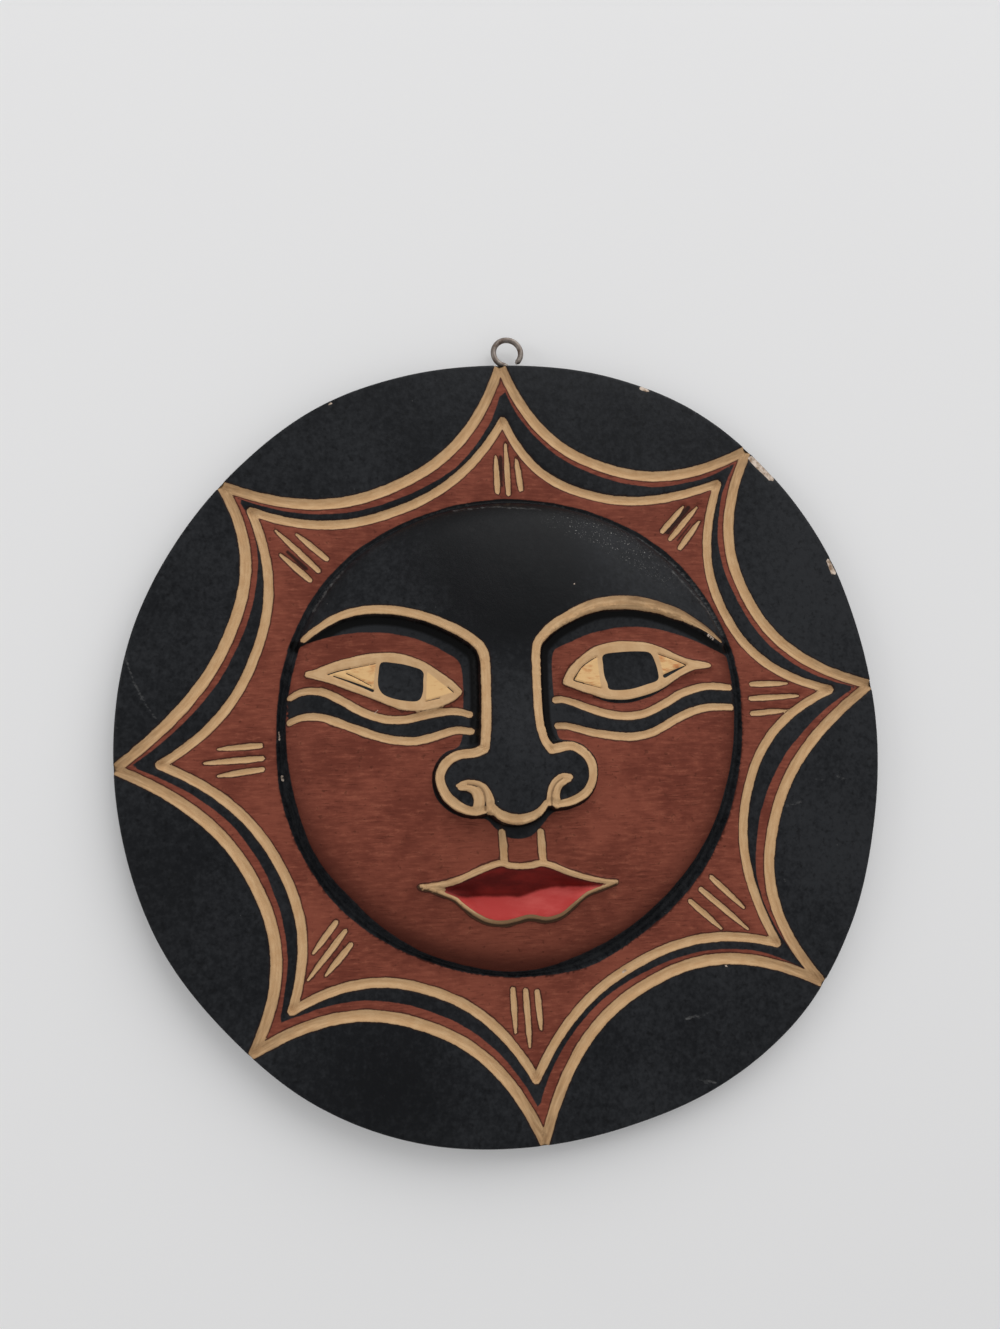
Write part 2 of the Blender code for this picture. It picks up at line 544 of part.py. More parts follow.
def add_screw_eye(collection):
    """The bent wire: a shank in the disc's edge and a ring that comes back to it."""
    radius = ring_radius()
    middle = ring_height()
    neck = middle - radius - WIRE_DIAMETER / 2
    shank = [(0.0, rim_top() - SHANK_LENGTH), (0.0, rim_top() - SHANK_LENGTH / 2), (0.0, neck)]
    turns = np.radians(np.arange(RING_START, RING_END, BEND_STEP))
    loop = [(radius * math.cos(a), middle + radius * math.sin(a)) for a in turns]
    path = smooth_line(shank + loop, WIRE_DIAMETER * WIRE_STEP_SHARE)
    curve = bpy.data.curves.new("screw_eye", "CURVE")
    curve.dimensions = "3D"
    curve.bevel_depth = WIRE_DIAMETER / 2
    curve.bevel_resolution = int(WIRE_SIDES / 2) - 2
    curve.use_fill_caps = True
    spline = curve.splines.new("POLY")
    spline.points.add(len(path) - 1)
    for point, (x, y) in zip(spline.points, path):
        point.co = (x, y, -RIM_THICKNESS / 2, 1.0)
    eye = bpy.data.objects.new("screw_eye", curve)
    collection.objects.link(eye)
    curve.materials.append(plain_material("tarnished steel", STEEL_COLOUR, STEEL_ROUGHNESS, 1.0))
    return eye


def main():
    for item in list(bpy.data.objects):
        bpy.data.objects.remove(item, do_unlink=True)
    collection = bpy.data.collections.new("sun_face_plaque")
    cutters = bpy.data.collections.new("cutters")
    bpy.context.scene.collection.children.link(collection)
    bpy.context.scene.collection.children.link(cutters)
    disc, cutter = add_disc(collection, cutters)
    eye = add_screw_eye(collection)
    frame = bpy.data.objects.new("plaque_frame", None)
    collection.objects.link(frame)
    frame.rotation_euler = Euler((math.pi / 2, 0, 0))
    frame.location = (0.0, -RIM_THICKNESS / 2, -ring_height())
    for item in (disc, cutter, eye):
        item.parent = frame


main()
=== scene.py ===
"""Looks of the sun face wall plaque: carved, gouged and hand-painted wood with a steel screw eye."""

import math

import bmesh
import bpy
import numpy as np
from bpy.props import FloatProperty, FloatVectorProperty, PointerProperty
from mathutils import Matrix, Vector, noise
from mathutils.geometry import delaunay_2d_cdt


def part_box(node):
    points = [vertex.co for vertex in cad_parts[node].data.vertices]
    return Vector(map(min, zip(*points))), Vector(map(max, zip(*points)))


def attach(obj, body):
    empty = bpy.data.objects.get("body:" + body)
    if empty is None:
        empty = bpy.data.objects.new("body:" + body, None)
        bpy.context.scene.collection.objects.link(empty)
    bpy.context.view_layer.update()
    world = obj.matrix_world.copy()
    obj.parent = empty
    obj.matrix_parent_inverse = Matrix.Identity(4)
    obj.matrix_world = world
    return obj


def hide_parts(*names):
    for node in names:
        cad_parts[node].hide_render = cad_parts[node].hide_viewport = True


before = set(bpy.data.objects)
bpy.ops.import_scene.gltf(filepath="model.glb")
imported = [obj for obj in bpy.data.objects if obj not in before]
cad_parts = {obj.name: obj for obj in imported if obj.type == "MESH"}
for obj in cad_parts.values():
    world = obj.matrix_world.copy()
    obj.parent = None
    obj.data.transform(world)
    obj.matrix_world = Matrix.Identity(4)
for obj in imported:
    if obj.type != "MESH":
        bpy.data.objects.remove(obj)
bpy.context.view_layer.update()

bl_info = {
    "name": "Sun face plaque",
    "version": (1, 0, 0),
    "blender": (4, 5, 0),
    "location": "View3D > Sidebar > Plaque",
    "description": "Carves and paints a round wooden sun face plaque with its screw eye",
    "category": "Object",
}

# The design is drawn in millimetres from the middle of the disc: right, then up
# Rim: how far the hand-cut edge stands off a true circle, every 15 degrees from +X
RIM_CUT = (-3.1, -2.6, -0.5, 1.1, 2.4, 1.2, -0.6, -0.6, -0.1, -1.1, -1.2, -0.6,
           -0.7, -0.4, 0.4, 0.2, 1.4, 1.3, 0.2, 0.0, 1.5, 2.1, 0.1, -2.5)

# Groove round the face: how far in from its ellipse its outer and inner edges lie, likewise; its black
# reaches further in at the lower right, over the dome's shaded foot, as painted shade
GROOVE_OUTER = (-0.5, -1.9, -2.4, -2.5, -1.3, 0.0, 0.5, 0.6, 0.0, -1.3, -1.5, -1.2,
                -0.5, -1.5, -2.1, -2.2, -1.2, -0.5, -0.6, -1.2, -0.1, 0.1, 0.0, 0.1)
GROOVE_INNER = (2.9, 1.0, 0.3, 0.6, 1.0, 1.8, 2.5, 2.4, 1.9, 1.2, 1.2, 2.0,
                2.3, 2.2, 1.3, 1.8, 1.4, 1.5, 1.3, 3.0, 4.5, 5.1, 4.7, 4.3)
DRAWN_GROOVE_WIDTH = 4.4

# Star: tips from the top one clockwise, then the sag and the lean of the arc after each tip
OUTER_TIPS = ((-3, 119.5), (79, 93), (115.5, 14.5), (92.5, -77.5),
              (5, -119), (-78, -90), (-118.5, -9), (-90, 77))
OUTER_ARCS = ((22.3, -0.02), (24.2, 0.0), (23.8, 0.06), (25.2, -0.01),
              (21.0, 0.01), (20.8, -0.05), (17.8, 0.07), (22.6, 0.0))
INNER_TIPS = ((-2.5, 100.5), (68, 81), (102, 13), (79, -65.5),
              (3, -101.5), (-67.5, -79), (-106, -8), (-81, 69))
INNER_ARCS = ((16.2, -0.07), (19.5, 0.02), (19.6, -0.03), (15.3, -0.01),
              (16.0, 0.02), (16.3, -0.03), (15.6, 0.0), (15.8, -0.01))
ARC_FULLNESS = 2.3

# Strokes: three in each ray from the top one clockwise, each from its inner end to its outer end
STROKES = (
    ((-4.7, 76.5), (-5.0, 88.5)), ((-1.2, 76.0), (-1.8, 92.5)), ((2.8, 77.5), (1.5, 88.2)),
    ((48.5, 64.5), (56.0, 73.0)), ((51.0, 62.0), (60.5, 72.8)), ((54.0, 59.0), (61.0, 68.0)),
    ((75.3, 14.8), (87.5, 15.0)), ((75.0, 10.2), (91.0, 11.0)), ((75.0, 5.4), (86.5, 6.3)),
    ((59.0, -45.0), (69.0, -54.5)), ((55.5, -48.5), (70.0, -61.0)), ((52.0, -52.0), (61.5, -60.5)),
    ((3.8, -76.5), (4.8, -87.5)), ((0.4, -76.0), (1.3, -92.2)), ((-3.4, -75.5), (-2.8, -88.0)),
    ((-50.7, -61.0), (-58.0, -69.5)), ((-52.3, -57.0), (-63.0, -70.5)), ((-55.0, -54.5), (-61.5, -63.0)),
    ((-76.5, -9.7), (-89.3, -11.5)), ((-76.5, -6.5), (-93.3, -7.7)), ((-77.0, -2.7), (-89.5, -3.6)),
    ((-63.0, 47.5), (-72.0, 55.5)), ((-60.5, 50.5), (-73.5, 63.0)), ((-58.0, 54.2), (-67.3, 62.0)))

# Face: its middle, and the lines of the brows, nose, eyes, cheeks and mouth
FACE_MIDDLE = (-0.5, 1.5)
LEFT_BROW = ((-64.6, 28.5), (-61, 31.1), (-55.2, 34.3), (-50, 35.8), (-44.6, 36.4), (-38.5, 36),
             (-32.3, 34.8), (-26.2, 32.8), (-20, 29.9), (-15.4, 27.0), (-12.7, 24.4), (-11.6, 21.0),
             (-11.4, 13.8), (-11.5, 6.2), (-11.9, -1.5), (-12.3, -5.4))
RIGHT_BROW = ((65, 28), (60, 31), (53.8, 34), (47.7, 36.3), (40, 38.2), (32.3, 38.8),
              (26.2, 38.3), (20.8, 37), (15.4, 34.6), (10, 31.5), (6.9, 28.8), (4.6, 26.2),
              (3.8, 23.1), (3.7, 16.9), (3.7, 10.8), (3.9, 3.1), (4.5, -0.6), (5.4, -3.4), (7.2, -5.9))
LEFT_WING = ((-12.3, -5.4), (-15.0, -6.6), (-18.6, -6.9), (-21.4, -7.8), (-23.5, -9.5), (-24.8, -11.8),
             (-25.1, -13.9), (-24.5, -16.4), (-23.1, -18.9), (-21.0, -21.0), (-18.2, -22.6),
             (-15.3, -23.3), (-12.6, -22.9))
NOSE_TIP = ((-10.7, -21.6), (-8.8, -24.0), (-6.0, -25.5), (-2.7, -25.9), (0.9, -25.1), (3.5, -23.5),
            (5.1, -21.4))
RIGHT_WING = ((6.6, -20.9), (8.7, -21.6), (12.0, -21.2), (15.3, -20.0), (17.8, -18.3), (19.5, -15.4),
              (19.9, -12.5), (19.4, -9.6), (17.6, -7.1), (14.9, -5.3), (12.5, -4.9), (9.9, -5.4),
              (7.2, -5.9))
LEFT_NOSTRIL = ((-20.2, -15.9), (-19.0, -15.3), (-17.0, -15.0), (-14.6, -15.4), (-12.6, -16.9),
                (-11.4, -19.3), (-11.0, -21.6), (-10.9, -23.2))
RIGHT_NOSTRIL = ((12.8, -14.0), (11.0, -13.6), (9.2, -14.2), (7.5, -15.7), (6.7, -17.5), (6.3, -19.3),
                 (6.2, -21.2))
INNER_CURLS = (((-19.5, -16.5), (-17.35, -16.6), (-15.4, -17.4), (-14.35, -19.0), (-14.15, -20.7),
                (-14.45, -22.6)),
               ((12.4, -14.6), (10.9, -15.2), (9.4, -16.4), (8.6, -18.2), (8.3, -20.1), (8.6, -21.6)))
SEAMS = (((-17.3, -15.5), (-14.5, -16.1), (-13.1, -17.4), (-12.5, -19.3), (-12.4, -21.3), (-12.4, -23.0)),
         ((10.3, -14.4), (8.5, -15.7), (7.4, -17.4), (6.9, -19.1), (7.0, -20.9), (7.0, -22.3)))
NOSTRIL_HOLES = ((-17.8, -19.3), (11.0, -18.4))
NOSTRIL_HALF_WIDTH = 2.2
LEFT_UPPER_LID = ((-63.4, 17.8), (-60.3, 18.4), (-56.0, 19.8), (-50.8, 20.9), (-46.8, 21.6),
                  (-42.2, 22.1), (-37.4, 22.1), (-33.2, 21.1), (-29.0, 19.4), (-25.3, 16.8),
                  (-22.2, 14.5), (-19.1, 11.6))
LEFT_LOWER_LID = ((-63.4, 17.8), (-60.9, 17.1), (-57.3, 16.1), (-52.6, 14.5), (-47.9, 12.7),
                  (-43.1, 10.9), (-39.1, 9.1), (-35.5, 7.8), (-31.8, 7.4), (-28.5, 7.6), (-24.5, 8.6),
                  (-21.1, 10.1), (-19.1, 11.6))
RIGHT_UPPER_LID = ((59.6, 20.0), (56.5, 20.4), (53.3, 20.7), (49.0, 21.9), (44.7, 23.7), (40.8, 25.0),
                   (36.5, 25.6), (31.5, 25.6), (27.5, 25.2), (23.6, 24.0), (20.3, 22.2), (17.3, 19.8),
                   (15.1, 17.5), (13.3, 14.5))
RIGHT_LOWER_LID = ((59.6, 20.0), (56.4, 19.6), (53.2, 19.0), (49.2, 17.3), (45.1, 14.9), (41.5, 13.0),
                   (37.3, 11.5), (32.0, 10.2), (26.2, 10.4), (21.6, 11.7), (17.1, 13.1), (13.3, 14.5))
CHEEK_LINES = (
    ((-68.6, 11.0), (-65.8, 12.4), (-62.6, 12.8), (-59.0, 12.4), (-55.8, 11.1), (-52.6, 9.3), (-49.0, 7.1),
     (-45.0, 5.2), (-40.6, 3.9), (-36.3, 3.6), (-31.9, 4.2), (-27.5, 5.2), (-23.4, 5.8), (-19.4, 5.8),
     (-16.0, 4.9)),
    ((-68.6, 3.7), (-65.8, 4.8), (-62.6, 5.2), (-59.0, 4.8), (-55.4, 3.6), (-51.1, 1.9), (-46.4, 0.1),
     (-42.1, -1.4), (-37.4, -2.4), (-32.7, -2.7), (-28.3, -2.0), (-23.9, -0.7), (-19.8, 0.3),
     (-15.6, -0.1)),
    ((9.8, 9.0), (11.9, 9.2), (15.3, 8.2), (19.1, 6.8), (23.6, 5.3), (28.2, 4.3), (32.8, 4.1),
     (37.1, 4.8), (41.1, 6.4), (45.1, 8.5), (49.5, 11.0), (54.4, 12.6), (59.2, 13.5), (67.3, 13.4)),
    ((10.2, 1.3), (12.8, 1.2), (16.6, 0.3), (21.1, -0.9), (26.4, -1.7), (31.8, -2.2), (35.7, -1.8),
     (39.6, -0.8), (44.0, 1.3), (48.4, 3.7), (53.2, 5.6), (58.8, 6.9), (67.3, 7.2)))
LIP_TOP = ((-30.8, -44.5), (-27.3, -44.2), (-23.2, -43.7), (-19.1, -42.4), (-14.9, -40.6),
           (-11.2, -39.2), (-7.4, -38.2), (-5.6, -38.9), (-2.0, -39.3), (1.3, -39.1), (4.3, -38.6),
           (8.1, -39.7), (12.2, -41.4), (16.9, -43.0), (21.5, -44.1), (26.8, -44.9))
LIP_BOTTOM = ((-30.8, -44.5), (-27.3, -45.5), (-24.1, -46.8), (-20.8, -48.3), (-18.4, -50.4),
              (-14.8, -53.2), (-11.1, -55.0), (-6.6, -55.6), (-2.8, -54.9), (0.1, -54.2), (2.6, -54.4),
              (5.9, -55.0), (9.7, -54.1), (12.3, -52.4), (15.3, -49.9), (18.4, -47.7), (22.7, -46.3),
              (26.8, -44.9))
LIP_MEETING = ((-24.3, -46.0), (-18.1, -47.8), (-11.9, -47.9), (-6.0, -47.9), (-1.4, -48.3),
               (3.3, -46.9), (7.6, -45.9), (11.4, -45.8), (17.8, -46.0), (23.0, -45.2))
LIP_CORNER = ((-30.0, -44.6), (-27.0, -44.9), (-24.0, -45.4))
LIP_HALF_DEPTH = 7.0
LIP_TAPER = 4.0
PHILTRUM = (((-7.1, -29.4), (-6.7, -33.4), (-6.5, -37.4)), ((4.3, -29.6), (4.6, -33.7), (4.9, -37.4)))
EYE_MIDDLES = ((-36, 17), (32, 20))
SOCKET_SPREAD = (24.0, 13.0)
NOSE_MIDDLE = (-3.6, -14.0)
NOSE_SPREAD = (13.0, 22.0)
BRIDGE_FOOT = ((-8, -12), (2, -12))
OVER_FACE = ((120, 60), (60, 140), (-60, 140), (-120, 60))

# Shapes of the crowned surfaces: how full each dome is and how steeply it falls at its foot
CHEEK_FULLNESS = 3.0
BROW_FULLNESS = 3.4
DOME_FALL = 0.6
NOSE_FULLNESS = 2.5

# Paint: pupils, the bars beside them, the whites and the fine cuts in the eyes' corners, the last of them a
# cut under the right eye's lower lid inked as its shadow
LEFT_PUPIL = ((-41.7, 20.7), (-38.0, 20.6), (-33.9, 19.8), (-29.6, 18.1), (-29.4, 15.1), (-29.6, 11.4),
              (-31.1, 9.1), (-35.5, 9.3), (-39.1, 10.2), (-41.5, 11.6), (-42.6, 14.0), (-42.5, 17.3))
RIGHT_PUPIL = ((25.3, 22.8), (30.6, 23.7), (36.5, 24.0), (40.1, 23.5), (41.6, 20.8), (42.3, 17.8),
               (42.1, 15.1), (38.4, 13.7), (32.5, 12.1), (26.7, 12.1), (26.0, 14.0), (25.2, 16.5),
               (25.0, 19.7))
EYE_BARS = (((-42.3, 20.6), (-43.1, 16.2), (-42.6, 11.4)), ((-28.8, 18.4), (-28.7, 14.7), (-29.2, 11.0)),
            ((24.2, 23.2), (23.9, 17.8), (25.0, 11.9)), ((41.3, 24.2), (42.7, 20.8), (43.5, 15.0)))
WHITES = (((-57.3, 17.5), (-50.8, 19.0), (-43.2, 20.4), (-44.1, 12.4), (-50.8, 15.2)),
          ((-28.2, 17.8), (-20.7, 11.6), (-28.7, 9.1)),
          ((23.2, 22.1), (18.2, 18.8), (15.3, 14.8), (18.6, 14.0), (24.0, 12.5)),
          ((42.7, 23.2), (51.8, 19.9), (44.3, 16.2)))
FINE_CUTS = (((-55.6, 17.0), (-50.8, 15.2), (-46.4, 13.4), (-44.2, 12.4)),
               ((-57.3, 17.5), (-54.0, 18.5), (-50.8, 19.1)), ((-50.8, 19.1), (-43.4, 20.5)),
               ((-22.2, 13.1), (-20.6, 11.6)), ((-28.7, 9.0), (-24.6, 9.9)),
               ((23.0, 22.1), (20.8, 20.8), (18.4, 19.0), (16.6, 16.6), (15.7, 15.0)),
               ((16.4, 16.2), (15.8, 14.9), (18.6, 14.1)), ((18.6, 14.0), (24.0, 12.6)),
               ((42.9, 23.2), (47.0, 21.8), (51.7, 20.0)), ((51.7, 19.8), (48.4, 18.3), (44.5, 16.4)),
               ((-51.8, 17.7), (-48.9, 16.3), (-44.6, 13.8)),
               # A cut under the right eye's lower lid, inked as painted shadow
               ((46.0, 13.6), (41.5, 11.3), (37.3, 9.8), (32.0, 8.6), (26.2, 8.8), (21.5, 10.0)))
FINE_CUT_WIDTHS = ((0.35, 0.85), (0.3, 0.3), (0.15, 0.15), (0.25, 0.3), (0.15, 0.2), (0.2, 0.35),
                   (0.4, 0.4, 0.3), (0.2, 0.15), (0.2, 0.25), (0.3, 0.8, 1.2), (0.3, 0.2),
                   (0.1, 0.8, 1.0, 0.9, 0.1))

# Edge of the bare brown of the eye sockets and cheeks against the black round brows and nose
BROWN_EDGE = ((-75, 24), (-66, 26.3), (-60, 28.2), (-53, 29.6), (-46, 30), (-39, 29.5), (-32, 27.9),
              (-26, 25.5), (-21, 22.6), (-18.6, 20.4), (-17.8, 17), (-17.7, 10), (-17.8, 3), (-18.2, -1.5),
              (-19.5, -4.6), (-23.3, -6.2), (-26.0, -9.3), (-27.2, -13.6), (-26.6, -17.8),
              (-24.6, -21.2), (-21.2, -23.8), (-16.6, -25.5), (-12.6, -25.6), (-11.3, -25.9),
              (-9.2, -28.0), (-7.8, -29.2), (-6.0, -30.7), (-2.7, -31.5), (0.6, -31.2), (2.8, -29.8),
              (4.7, -27.7), (6.5, -25.6), (8.5, -24.0), (12, -23.6), (16.2, -22.2), (19.6, -19.4),
              (21.5, -15.6), (21.9, -11.3), (20.8, -7.6), (17.6, -4.4), (13.4, -3.2), (10.4, -2.4),
              (9.6, 3), (9.3, 12), (9.2, 20), (9.8, 23.6), (12, 25.4), (16, 27.2), (22, 29.6), (28, 31),
              (34, 31.7), (40, 31.5), (46, 30.5), (52, 29), (58, 27), (64, 24.5), (75, 20))
UNDER_FACE = ((90, -60), (0, -100), (-90, -60))

# Painted shadow between and beside strokes, and the brown left between the outer gold and the black band of
# each arc
STROKE_SHADES = (((-3.2, 78.5), (-3.5, 88.0)), ((50.2, 64.4), (57.6, 72.6)),
                 ((-64.2, 51.0), (-69.8, 56.3)), ((53.4, 61.6), (58.0, 67.0)))
STROKE_SHADE_WIDTHS = ((0.7, 1.3), (1.9, 1.5), (1.3, 0.9), (0.5, 0.3))
BROWN_STRIPS = ((0.2, 1.3, 1.6, 1.8, 2.0, 1.5, 0.3), (0.3, 1.8, 2.1, 1.8, 1.9, 1.4, 0.1),
                (0.4, 2.1, 3.0, 3.3, 2.7, 0.6, -0.8), (-0.7, 1.3, 1.4, 1.8, 2.8, 3.3, 2.3),
                (0.8, 1.8, 2.4, 2.8, 2.7, 2.2, 3.0), (3.0, 1.4, 1.8, 2.6, 2.8, 1.9, 0.6),
                (0.5, 1.5, 2.1, 2.1, 2.0, 2.2, 0.4), (0.3, 1.2, 1.8, 2.5, 3.5, 3.0, 0.6))

# Widths of the gold lines at even stations from their first point to their last, then their age, which on
# the lower lip's outline and the right brow also carries painted shade
LINE_WIDTHS = {
    "outer": (2.9, 3.3, 3.3, 3.3, 2.9), "inner": (2.5, 2.8, 2.8, 2.8, 2.5),
    "stroke": (1.4, 1.8, 1.7, 1.4, 0.7),
    "left_brow": (2.1, 2.5, 2.6, 2.6, 2.9, 2.7, 2.7),
    "right_brow": (0.8, 3.3, 3.9, 3.4, 2.7, 2.7, 2.8),
    "left_wing": (2.7, 2.6, 2.6, 2.8, 2.2), "right_wing": (1.7, 2.4, 2.6, 2.6, 2.6, 2.7),
    "nose_tip": (1.8, 2.9, 3.0, 2.6, 1.8),
    "left_nostril": (1.0, 1.3, 1.6, 2.0, 2.5, 2.4), "right_nostril": (1.5, 1.7, 1.6, 1.6, 1.8, 2.0),
    "left_curl": (1.4, 1.7, 2.3, 3.0, 3.2, 3.2), "right_curl": (1.4, 1.9, 2.2, 2.3, 2.4, 2.6),
    "left_upper": (1.6, 2.1, 2.9, 3.2, 3.0, 2.6, 2.2, 2.4, 2.2),
    "left_lower": (1.6, 1.9, 2.4, 2.5, 2.6, 2.6, 2.6, 2.6, 2.2),
    "right_upper": (1.3, 1.8, 2.2, 2.6, 2.9, 2.9, 2.6, 2.2),
    "right_lower": (1.3, 1.8, 2.5, 2.8, 2.7, 2.5, 2.1),
    "cheek": (1.9, 2.4, 2.4, 2.4, 2.0), "philtrum": (1.9, 2.3, 2.2),
    "lip_top": (1.3, 1.9, 1.8, 1.7, 1.8, 1.5, 1.3), "lip_bottom": (1.5, 1.5, 1.9, 2.0, 1.9, 1.5, 1.4),
    "lip_corner": (1.8, 2.2, 1.0),
    "bar": (1.4, 1.3, 1.4)}
LINE_AGES_AND_SHADE = {"outer": (0.75, 0.3, 0.15, 0.3, 0.75), "inner": (0.45, 0.12, 0.08, 0.12, 0.45),
             "left_brow": (0.5, 0.15, 0.1, 0.0, 0.0), "right_brow": (1.0, 0.8, 0.75, 0.35, 0.0, 0.0, 0.0),
             "lip_top": (0.6, 0.45, 0.35, 0.5, 0.6), "lip_bottom": (0.4, 0.4, 1.2, 1.4, 1.0, 0.4),
             "lip_corner": (0.3, 0.8), "nose_tip": (-0.3, -0.6, -0.3), "cheek": (0.5, 0.1, 0.0, 0.0),
             "left_lower": (0.4, 0.1, 0.0, 0.0), "right_upper": (0.2, 0.1, 0.0),
             "left_wing": (0.4, 0.0), "right_wing": (0.0, 0.0, 0.4)}

# Chips that bare the wood, with painted glints, and scuffs on the black, with painted highlights: lines and
# their widths
CHIPS_AND_GLINTS = ((((43.7, 112.9), (45.8, 112.2)), 1.2),
         (((80.0, 89.7), (82.1, 87.6), (84.2, 85.5), (86.3, 83.1)), 2.1),
         (((104.3, 55.5), (105.0, 53.5), (105.7, 51.6)), 1.8), (((-57.9, 103.9), (-56.7, 104.5)), 0.8),
         (((62.1, -71.5), (62.5, -71.9)), 0.9), (((16.3, 44.0), (16.4, 44.4)), 0.3),
         (((30.2, -72.2), (31.0, -71.6)), 0.5), (((-43.6, 5.8), (-42.7, 6.6)), 0.3),
         # The mark at the right brow's end and the two on the groove's left side are painted glints
         (((59.9, 29.6), (61.7, 28.4)), 0.25), (((-71.8, 1.2), (-71.8, -1.0)), 0.45),
         (((-70.9, -11.8), (-70.7, -13.0)), 0.4))
# The marks along the forehead's edge, at its top, upper left and upper right, are painted highlights; the
# rest are scuffs
SCUFFS_AND_HIGHLIGHTS = ((((40.9, 61.9), (51.1, 54.2), (58, 47), (63.1, 38.9), (67, 30.5)), 1.3),
          (((49.8, 50.3), (55.7, 43.9), (60.7, 38.8), (64.8, 33.7)), 1.4),
          (((-117, 25), (-114.0, 17), (-110.5, 10), (-106, 4)), 0.8), (((-119, 6), (-118, 1)), 0.7),
          (((-104, -15), (-98.5, -18.5)), 0.8), (((94, -15.4), (98, -15.8)), 0.6),
          (((102, -15), (105, -15.6)), 1.1), (((82, -25), (89.5, -22.2)), 0.9),
          (((49, -86.5), (56, -85)), 1.0), (((52, -104), (57, -105.2)), 1.2),
          (((-53.1, 49.9), (-57.8, 44.2), (-61.9, 37.7)), 1.3),
          (((-19, 69.2), (-8, 70.4), (8, 69.5)), 1.0), (((82.2, -46), (82.8, -47)), 0.8),
          (((40, -61.2), (42.5, -62.5)), 0.4), (((-112, -62), (-104, -76)), 0.6))

# Bloom on the black, lightening it as painted sheen and darkening it as painted shade: middles, spreads and
# amounts
BLOOM_SHEEN_SHADE = (((104, 45), 34, 0.9), ((103, -35), 30, 0.8), ((-5, 56), 32, -1.3), ((0, 40), 14, -0.5),
         ((-4, -6), 20, 0.7), ((-40, -103), 30, -0.7), ((-104, -40), 30, -0.4), ((30, 62), 12, 0.3),
         ((-36, 15), 9, 0.4), ((34, 18), 9, 0.4))

# Gouged lines: widths of those of the star, strokes and face, and sizes of the finer cuts
STAR_LINE_WIDTH = 3.1
STROKE_WIDTH = 2.1
FACE_LINE_WIDTH = 2.4
FINE_CUT_DEPTH = 0.4
SEAM_WIDTH = 1.4
SEAM_DEPTH = 0.25
SHALLOW_ABOVE = 0.65

# The forehead's step starts this far out from its lines, and the nose's from its outline
CROWN_START = 1.15
NOSE_START = 1.1

# Hand-cut skin: swell and ripple heights and sizes, and how far the wood is cut back for them
SKIN = ((0.07, 9.0, 0.0), (0.03, 3.0, 5.0))
SKIN_BACK = 0.1

# Mesh rows: shares across the groove, and how far in from the rim its edge and shoulders lie
GROOVE_ROWS = (0.0, 1.0, 0.5, 0.25, 0.75, -0.3, 1.4)
RIM_INSET = 0.1
SHOULDERS = (0.16, 0.38, 0.7, 1.15)
RIM_POINTS = 720
RIM_CLEAR = 1.6

# Side of the disc: share of its thickness, how far in (millimetres) and whether the wood is bare
SIDE_STEPS = ((0.12, 0.1, 0), (0.30, 0.1, 0), (0.55, 0.1, 0), (0.80, 0.1, 0), (0.94, 0.2, 0),
              (1.0, 0.7, 0), (1.0, 1.4, 1))
SIDE_FADE = 1.3
SIDE_BLACK = 5.0

# Stage: lights from the disc's middle, and the camera's aim, lens and picture
KEY_LIGHT = (0.80, -1.25, 1.90)
KEY_WIDTH = 2.4
FILL_LIGHT = (-1.05, -0.60, 0.15)
FILL_WIDTH = 0.5
VIEW_AHEAD = (0.12941, 0.98132, 0.14236)
VIEW_UP = (0.00303, -0.14396, 0.98958)
SENSOR = 36.0
FOCAL_SHARE = 1000 / 1329
WALL_WIDTH = 6.0
WALL_GAP = 0.0004

# Distances are measured up to this far from a line, in millimetres
FAR = 9.0
TAU = 2 * math.pi


def respaced(line, spacing):
    """The same line with its points about one spacing apart."""
    along = np.r_[0.0, np.cumsum(np.hypot(*np.diff(line, axis=0).T))]
    count = max(2, round(along[-1] / spacing) + 1)
    places = np.linspace(0.0, along[-1], count)
    return np.c_[np.interp(places, along, line[:, 0]), np.interp(places, along, line[:, 1])]


def smooth_line(points, spacing, closed=False):
    """A smooth curve through the points, as a row of points one spacing apart."""
    p = np.asarray(points, float)
    if closed:
        p = np.vstack([p[-1:], p, p[:2]])
    else:
        p = np.vstack([2 * p[:1] - p[1:2], p, 2 * p[-1:] - p[-2:-1]])
    t = np.linspace(0.0, 1.0, 17)[:, None]
    spans = [0.5 * (2 * b + (c - a) * t + (2 * a - 5 * b + 4 * c - d) * t ** 2
                    + (3 * b - a - 3 * c + d) * t ** 3)
             for a, b, c, d in zip(p, p[1:], p[2:], p[3:])]
    return respaced(np.vstack([spans[0][:1]] + [span[1:] for span in spans]), spacing)


def around(stations, turn):
    """Smooth value at each angle, from values at even stations round a full turn."""
    place = (turn / TAU % 1.0) * len(stations)
    i = np.floor(place).astype(int)
    t = place - i
    a, b, c, d = (np.take(stations, i + k, mode="wrap") for k in (-1, 0, 1, 2))
    return 0.5 * (2 * b + (c - a) * t + (2 * a - 5 * b + 4 * c - d) * t ** 2
                  + (3 * b - a - 3 * c + d) * t ** 3)


def rim_radius(turn, radius):
    """Radius of the hand-cut rim at each angle."""
    return radius + around(RIM_CUT, turn)


def face_inset(q, size):
    """How far in from the groove's outer edge each point lies, the groove's width and the angle."""
    rel = (q - FACE_MIDDLE) / (size["face_half_width"], size["face_half_height"])
    turn = np.arctan2(rel[:, 1], rel[:, 0])
    inset = (1 - np.hypot(rel[:, 0], rel[:, 1])) * size["face_half_width"]
    outer = around(GROOVE_OUTER, turn)
    width = (around(GROOVE_INNER, turn) - outer) * size["groove_width"] / DRAWN_GROOVE_WIDTH
    return inset - outer * np.exp(-np.clip(inset, 0, None) / 12), width, turn


